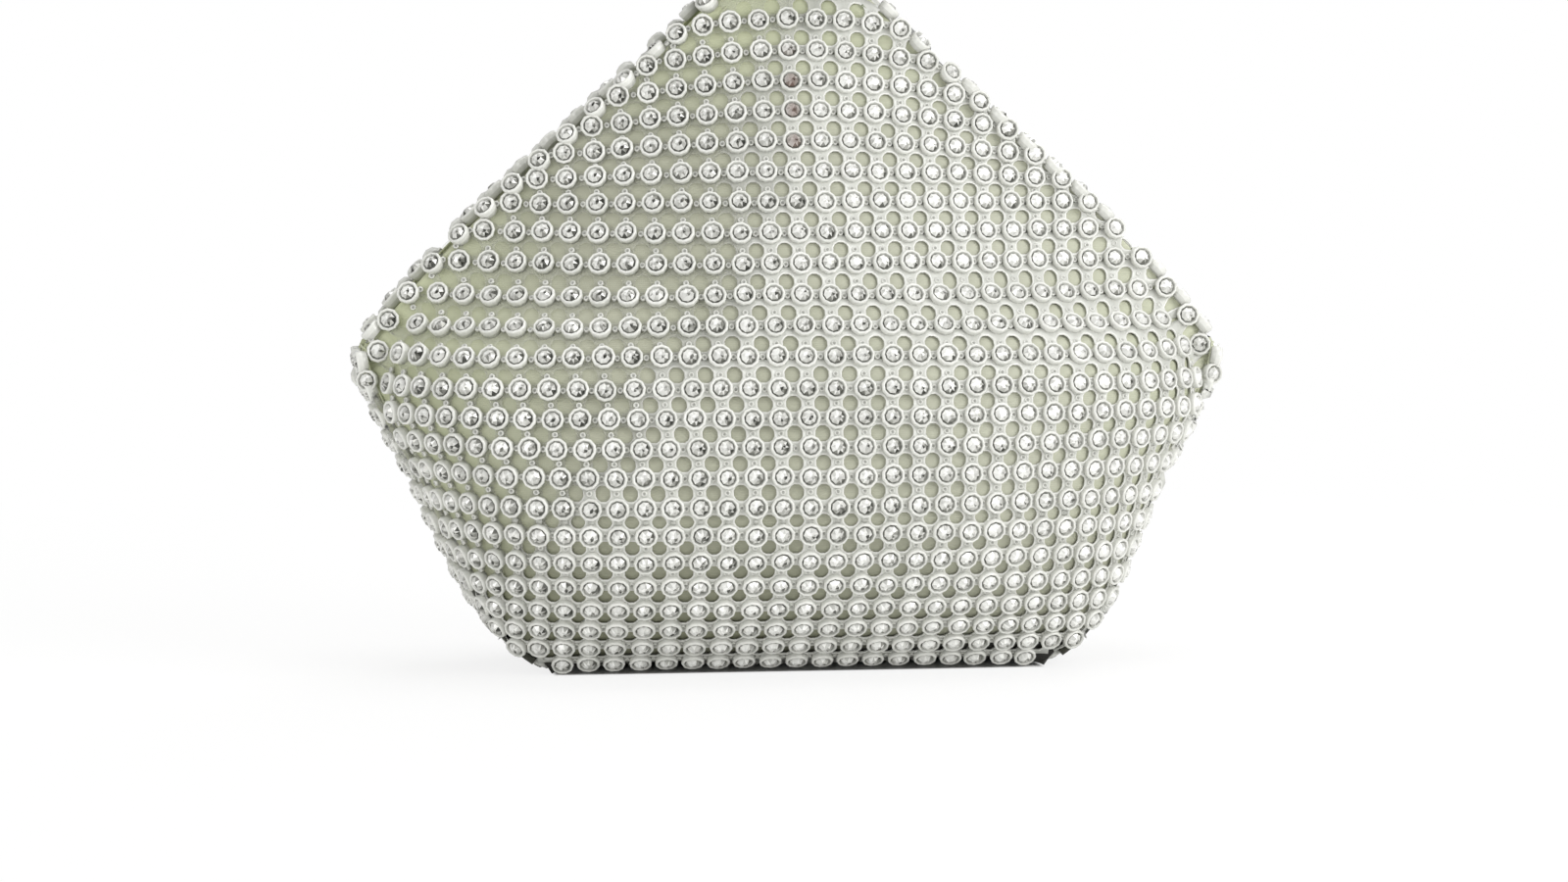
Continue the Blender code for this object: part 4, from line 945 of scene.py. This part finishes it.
def inside_side(arc, row, extra):
    """Where a side's lattice has a stone, or the net when it runs on by extra."""
    z = np.interp(row, SIDE_CLIMB, TABLE_Z)
    near_middle = np.abs(arc) < edge_half_depth(z) - SIDE_ROOM + extra
    return near_middle & (z < WIDEST_HEIGHT - SIDE_TOP_ROOM)


def inside_base(arc, row, extra):
    """Where the base's lattice has a stone, or the net when it runs on by extra."""
    near_middle = np.abs(row) < BASE_DEPTH / 2 - BASE_ROOM + extra
    return (np.abs(arc) < HALF_BASE - BASE_ROOM + extra) & near_middle


def inside_hoop(arc, row, extra):
    """Where the handle's lattice has a stone and the net too: all along the hoop."""
    return (row > 0.0) & (row < HOOP_LENGTH)


def build_crystal_mesh():
    """Dress the front, back, sides and base."""
    columns = FIRST_COLUMN + np.arange(-COLUMN_REACH, COLUMN_REACH + 1) * PITCH
    steps = np.arange(ROW_COUNT)
    rows = FIRST_ROW + ROW_PITCH * (steps + UPPER_STRETCH * np.maximum(steps - STRETCH_ROW, 0))
    dress("front", front_point, columns, rows, inside_front, "bag", ["mesh_front"])
    dress("back", back_point, columns, rows, inside_front, "bag", ["mesh_back"])
    side_columns = (np.arange(-SIDE_REACH, SIDE_REACH) + 0.5) * SIDE_PITCH
    for name, side in (("left", -1), ("right", 1)):
        dress("side_" + name, side_point(side), side_columns, rows[:SIDE_ROWS], inside_side, "bag",
              ["mesh_side_" + name], (SIDE_PITCH, ROW_PITCH))
    base_columns = (np.arange(BASE_COLUMNS) - (BASE_COLUMNS - 1) / 2) * PITCH
    base_rows = (np.arange(BASE_ROWS) - (BASE_ROWS - 1) / 2) * ROW_PITCH
    dress("base", base_point, base_columns, base_rows, inside_base, "bag", ["mesh_base"])


def neck_point(face):
    """A face of the neck clamp, just proud of it; face is -1 for the front, 1 for the back.

    A row sags to both sides by bow times the square of the length across.
    """
    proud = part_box("neck_clamp")[1][1] + 0.0014
    bow = 5.0

    def point(arc, row):
        y = np.full(arc.shape, face * proud)
        return np.stack([-face * arc, y, row - bow * arc ** 2], axis=-1)
    return point


def build_neck_row():
    """The lattice's last row of stones, set on the lower edge of the neck clamp."""
    arc = FIRST_COLUMN + np.arange(-2, 3) * PITCH
    row = np.full(len(arc), SHOULDER_TOP + 0.0019)
    spin = np.linspace(0.0, 2.0, len(arc))
    for name, face in (("front", -1), ("back", 1)):
        stones = scatter("neck_stones_" + name, CRYSTAL_UNIT, neck_point(face), arc, row, spin,
                         [CRYSTAL, CUP])
        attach(stones, "bag")


# Satin, lining and zip


def stretched(name, points, finish, thickness, slot, node, rests_on):
    """Sheet of cloth stretched over a piece of the bag, instead of a solid."""
    item = sheet(name, points, finish, thickness)
    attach(item, "bag")
    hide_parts(node)


def satin_panel(name, point, node):
    """Satin under the front or back: a smooth sheet that turns over the shoulders too."""
    wrap, seam_room, neck_rise = 0.0095, 0.0003, 0.0026
    fold_drop, fold_reach = 0.0027, 0.008
    rows = np.linspace(0.0, CLIMB_TOP, 120)[:, None]
    level = np.interp(rows, CLIMB, TABLE_Z)
    share = np.linspace(-1.0, 1.0, 121)[None, :]
    over = wrap * ease(level, WIDEST_HEIGHT, WIDEST_HEIGHT + 0.005)
    fold = fold_arc(share, level)
    arc = (fold + over - seam_room) * share
    row = rows + neck_rise * share ** 2 * (rows / CLIMB_TOP) ** 8
    middle, _, _, out = axes_at(point, arc / hermite(rows / CLIMB_TOP, GATHER), row)
    near = ease(np.abs(arc), fold - fold_reach, fold)
    drop = SATIN_DROP - near * (SATIN_DROP - fold_drop)
    points = middle - out * drop[..., None]
    stretched(name, points, SATIN, SATIN_THICKNESS, "satin", node, ["lining"])


def satin_side(name, side, node):
    """Satin under a side panel, from seam to seam."""
    rows = np.linspace(0.0, np.interp(WIDEST_HEIGHT, TABLE_Z, SIDE_CLIMB), 60)
    seam_room = 0.0012
    reach = edge_half_depth(np.interp(rows, SIDE_CLIMB, TABLE_Z)) - seam_room
    arc = reach[:, None] * np.linspace(-1.0, 1.0, 41)[None, :]
    middle, _, _, out = axes_at(side_point(side), arc, np.broadcast_to(rows[:, None], arc.shape))
    points = middle - out * SATIN_DROP
    stretched(name, points, SATIN, SATIN_THICKNESS, "satin", node, ["lining"])


def satin_base():
    """Flat satin on the base board."""
    seam_room, height, thickness = 0.0022, 0.0034, 0.0006
    x, y = np.meshgrid(np.linspace(-1, 1, 41) * (HALF_BASE - seam_room),
                       np.linspace(-1, 1, 31) * (BASE_DEPTH / 2 - seam_room))
    points = np.stack([-x, y, np.full_like(x, height)], axis=-1)
    stretched("satin_base_panel", points, SATIN, thickness, "satin", "satin_base", ["base_board"])


def corner_welt(name, side, face):
    """Piped seam up one corner; side is -1 for the left, face is -1 for the front."""
    inset, radius = 0.0023, 0.0010
    z = np.linspace(0.0030, WIDEST_HEIGHT - 0.004, 60)
    y = face * (edge_half_depth(z) - inset)
    path = np.stack([side * (half_width(z) - inset), y, z], axis=1)
    welt = tube("seam_" + name, path, radius, SEAM, sides=8)
    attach(welt, "bag")


def build_satin():
    """Satin body: front, back, sides, base, and the piped corner seams."""
    satin_panel("satin_front_panel", front_point, "satin_front")
    satin_panel("satin_back_panel", back_point, "satin_back")
    for name, side in (("left", -1), ("right", 1)):
        satin_side("satin_panel_" + name, side, "satin_side_" + name)
    satin_base()
    for face_name, face in (("front", -1), ("back", 1)):
        for side_name, side in (("left", -1), ("right", 1)):
            corner_welt(face_name + "_" + side_name, side, face)


def shoulder_point(side, along, across, out):
    """Point in a shoulder's own axes: down its slope, across the bag, and out of the slope."""
    x = HALF_NECK + along * SLOPE_COS + out * SLOPE_SIN
    z = SHOULDER_TOP - along * SLOPE_SIN + out * SLOPE_COS
    return np.stack(np.broadcast_arrays(side * x, across, z), axis=-1)


def shoulder_strip():
    """Satin strip that closes the left shoulder's groove."""
    half, edge_depth, sag, thickness = 0.0078, 0.0062, 0.0016, 0.0005
    along = np.linspace(GROOVE_START, GROOVE_END, 80)[:, None]
    across = np.linspace(-1, 1, 15)
    depth = edge_depth + sag * (1 - across ** 2)
    points = shoulder_point(-1, along, across * half, -depth)[:, ::-1]
    stretched("shoulder_strip", points, SATIN, thickness, "satin", "shoulder_gusset",
              ["satin_front_panel", "satin_back_panel"])


def zip_tape(name, side):
    """Woven tape on one side of the right shoulder's groove."""
    inner, outer, depth, lift, thickness = 0.0026, 0.0077, 0.0056, 0.0002, 0.0006
    along = np.linspace(GROOVE_START, GROOVE_END, 80)[:, None]
    across = side * np.linspace(inner, outer, 9)
    out = lift * np.sin(np.linspace(0, math.pi, 9)) - depth
    points = shoulder_point(1, along, across, out)[:, ::side]
    tape = sheet("tape_" + name, points, TAPE, thickness)
    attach(tape, "bag")
    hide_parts("zip_tape_" + name)


def zip_coil(name, side):
    """Coiled wire along one tape's inner edge."""
    start, end, turn = 0.0105, SHOULDER_LENGTH - 0.0030 - 0.0120 - 0.0027, 0.0013
    middle, depth, radius, wire = 0.0033, 0.0045, 0.00058, 0.00021
    turns = int((end - start) / turn)
    t = np.linspace(0.0, 1.0, turns * 12 + 1)
    angle = t * turns * math.tau
    path = shoulder_point(1, start + (end - start) * t, side * (middle + radius * np.cos(angle)),
                          radius * np.sin(angle) - depth)
    coil = tube("coil_" + name, path, wire, NYLON, sides=6)
    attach(coil, "bag")
    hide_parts("zip_coil_" + name)


def build_groove():
    """Satin strip in the left shoulder's groove, and the zip's tapes and coils in the right."""
    shoulder_strip()
    for name, side in (("front", -1), ("back", 1)):
        zip_tape(name, side)
        zip_coil(name, side)


def layer_loop(level, inset, width, samples):
    """Closed loops of points at heights: front from left to right, then back from right to left."""
    share = np.sin(np.linspace(-math.pi / 2, math.pi / 2, samples))
    x = width[:, None] * share[None, :]
    z = np.broadcast_to(level[:, None], x.shape)
    front = np.stack([x, inset - face_depth(x, z), z], axis=-1)
    back = front * np.array([-1.0, -1.0, 1.0])
    return np.concatenate([front, back], axis=1)


def lining_bag():
    """Lining bag with a floor, open along the zip."""
    inset, shoulder_inset, thickness, samples = 0.0069, 0.0085 / SLOPE_SIN, 0.0005, 49
    level = np.concatenate([[0.0076, 0.0079], np.linspace(0.0090, LINING_TOP, 70)])
    turn = ease(level, 0.68 * WIDEST_HEIGHT, 0.92 * WIDEST_HEIGHT)
    width = straight_width(level) - (inset + (shoulder_inset - inset) * turn)
    loops = layer_loop(level, inset, width, samples)
    rows, columns = loops.shape[:2]
    faces = grid_quads(rows, columns, wrap=True)
    column = faces[:, 0] % columns
    height = loops.reshape(-1, 3)[faces[:, 0], 2]
    slot = (column == samples - 1) & (height > WIDEST_HEIGHT + 0.003)
    ring = np.arange(columns)
    item = new_object("lining_bag", loops,
                      [faces[~slot], [ring[::-1]], [(rows - 1) * columns + ring]], LINING)
    item.data.shade_smooth()
    thicken(item, thickness)
    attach(item, "bag")
    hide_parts("lining")


def pocket():
    """Flat pocket sewn to the back of the lining."""
    half, low, high, inset, thickness = 0.038, 0.026, 0.068, 0.0085, 0.0008
    x, z = np.meshgrid(np.linspace(half, -half, 41), np.linspace(low, high, 24))
    points = np.stack([x, face_depth(-x, z) - inset, z], axis=-1)
    stretched("pocket", points, LINING, thickness, "lining", "slip_pocket", ["lining_bag"])


def build_handle():
    """Crystal mesh and satin sleeves of the hoop."""
    step = HOOP_LENGTH / HOOP_ROWS
    pitch = (math.tau * HOOP_SKIN / HOOP_COLUMNS, step)
    arcs = np.arange(HOOP_COLUMNS) * math.tau * HOOP_SKIN / HOOP_COLUMNS
    rows = (np.arange(HOOP_ROWS) + 0.5) * step
    dress("handle", hoop_point, arcs, rows, inside_hoop, "handle", ["handle_mesh"], pitch, 0.6)
    angle = np.linspace(math.pi + CAP_LEAN, -CAP_LEAN, 97)
    path = np.stack([HOOP_RADIUS * np.cos(angle), 0 * angle,
                     HOOP_CENTRE_Z + HOOP_RADIUS * np.sin(angle)], axis=1)
    radius = 0.0058
    sleeve = tube("handle_sleeve", path, radius, SATIN, sides=20)
    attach(sleeve, "handle")
    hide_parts("handle_satin")


def finish_solids():
    """Give the solids that stay in view their finishes."""
    finishes = {"silver": SILVER, "nylon": NYLON, "board": BOARD}
    for entry in frame["record"]["subparts"]:
        node = frame["nodes"][entry["node"]]
        finish = finishes.get(entry["material_slot"])
        if finish:
            for slot in node.material_slots:
                slot.material = finish


# Studio: lamps as name, place, height of the aim over the base, width and power
WHITE = (1.0, 1.0, 1.0, 1.0)
LAMPS = (("key", (0.75, -0.75, 0.55), 0.08, 0.7, 7.8), ("fill", (-0.8, -0.8, 0.35), 0.08, 0.6, 3.8),
         ("top", (0.1, 0.1, 1.1), 0.08, 0.8, 5.2), ("rim", (0.5, 0.9, 0.5), 0.10, 0.5, 3.6))
FLOOR_REACH = 6
SHADOW_X = 0.0545
SHADOW_Y = 0.0205
SKY_LEVEL = 0.46
SKY_EXTRA_IN_VIEW = 0.54
CAMERA_AZIMUTH = math.radians(-8.0)
CAMERA_ELEVATION = math.radians(4.3)
CAMERA_DISTANCE = 1.0
CAMERA_AIM = (-0.0010, 0.0, 0.0500)
CAMERA_LENS = 101.0


def floor_finish():
    """Pale floor that looks white to the camera, but for the shadow right under the bag."""
    f = Finish("floor", Roughness=0.8)
    f.feed(Base_Color=f.mix(f.noise(3.0), (0.90, 0.90, 0.89), (0.93, 0.93, 0.92)))
    seen = f.node("ShaderNodeLightPath")
    x, y = f.axis(0), f.axis(1)
    away = ((x * x + y * y).math("SQRT") * 2.6 - 0.2).clamp()
    beside = (x.math("ABSOLUTE") - SHADOW_X).math("MAXIMUM", y.math("ABSOLUTE") - SHADOW_Y)
    beside = (beside * 900.0).clamp()
    white = f.node("ShaderNodeEmission", {"Color": WHITE})
    blend = f.node("ShaderNodeMixShader", {0: seen * beside * (away * 0.18 + 0.82),
                                           1: Field(f, f.shader.outputs[0]), 2: white})
    f.set(f.tree.nodes["Material Output"], "Surface", blend)
    return f.material


def build_floor():
    """Floor that the bag stands on."""
    far = FLOOR_REACH
    corners = [(-far, -far, 0), (far, -far, 0), (far, far, 0), (-far, far, 0)]
    floor = new_object("floor", corners, [[range(4)]], floor_finish())


def build_world():
    """White surroundings, dimmer as a light than where the camera sees them."""
    world = bpy.data.worlds.new("studio")
    bpy.context.scene.world = world
    world.use_nodes = True
    tree = world.node_tree
    ground = tree.nodes["Background"]
    ground.inputs["Color"].default_value = WHITE
    ray = tree.nodes.new("ShaderNodeLightPath")
    level = tree.nodes.new("ShaderNodeMath")
    level.operation = "MULTIPLY_ADD"
    tree.links.new(ray.outputs["Is Camera Ray"], level.inputs[0])
    level.inputs[1].default_value = SKY_EXTRA_IN_VIEW
    level.inputs[2].default_value = SKY_LEVEL
    tree.links.new(level.outputs[0], ground.inputs["Strength"])


def add_light(name, place, aim_height, width, power):
    """Square soft light aimed at a point over the middle of the base."""
    light = bpy.data.lights.new(name, "AREA")
    light.shape = "RECTANGLE"
    light.size = light.size_y = width
    light.energy = power
    item = bpy.data.objects.new(name, light)
    bpy.context.scene.collection.objects.link(item)
    item.location = place
    aim = Vector((0, 0, aim_height))
    item.rotation_euler = (aim - Vector(place)).to_track_quat("-Z", "Y").to_euler()


def build_camera():
    """Camera a little left of the front and a little above, aimed at the bag's lower half."""
    camera = bpy.data.objects.new("camera", bpy.data.cameras.new("camera"))
    bpy.context.scene.collection.objects.link(camera)
    back = Vector((math.sin(CAMERA_AZIMUTH) * math.cos(CAMERA_ELEVATION),
                   -math.cos(CAMERA_AZIMUTH) * math.cos(CAMERA_ELEVATION),
                   math.sin(CAMERA_ELEVATION)))
    camera.location = Vector(CAMERA_AIM) + back * CAMERA_DISTANCE
    camera.rotation_euler = back.to_track_quat("Z", "Y").to_euler()
    camera.data.lens = CAMERA_LENS
    camera.data.clip_start = 0.01
    bpy.context.scene.camera = camera


build_crystal_mesh()
build_neck_row()
build_satin()
build_groove()
lining_bag()
pocket()
build_handle()
finish_solids()
build_floor()
build_world()
for lamp in LAMPS:
    add_light(*lamp)
build_camera()
bpy.context.scene.view_settings.view_transform = "Standard"
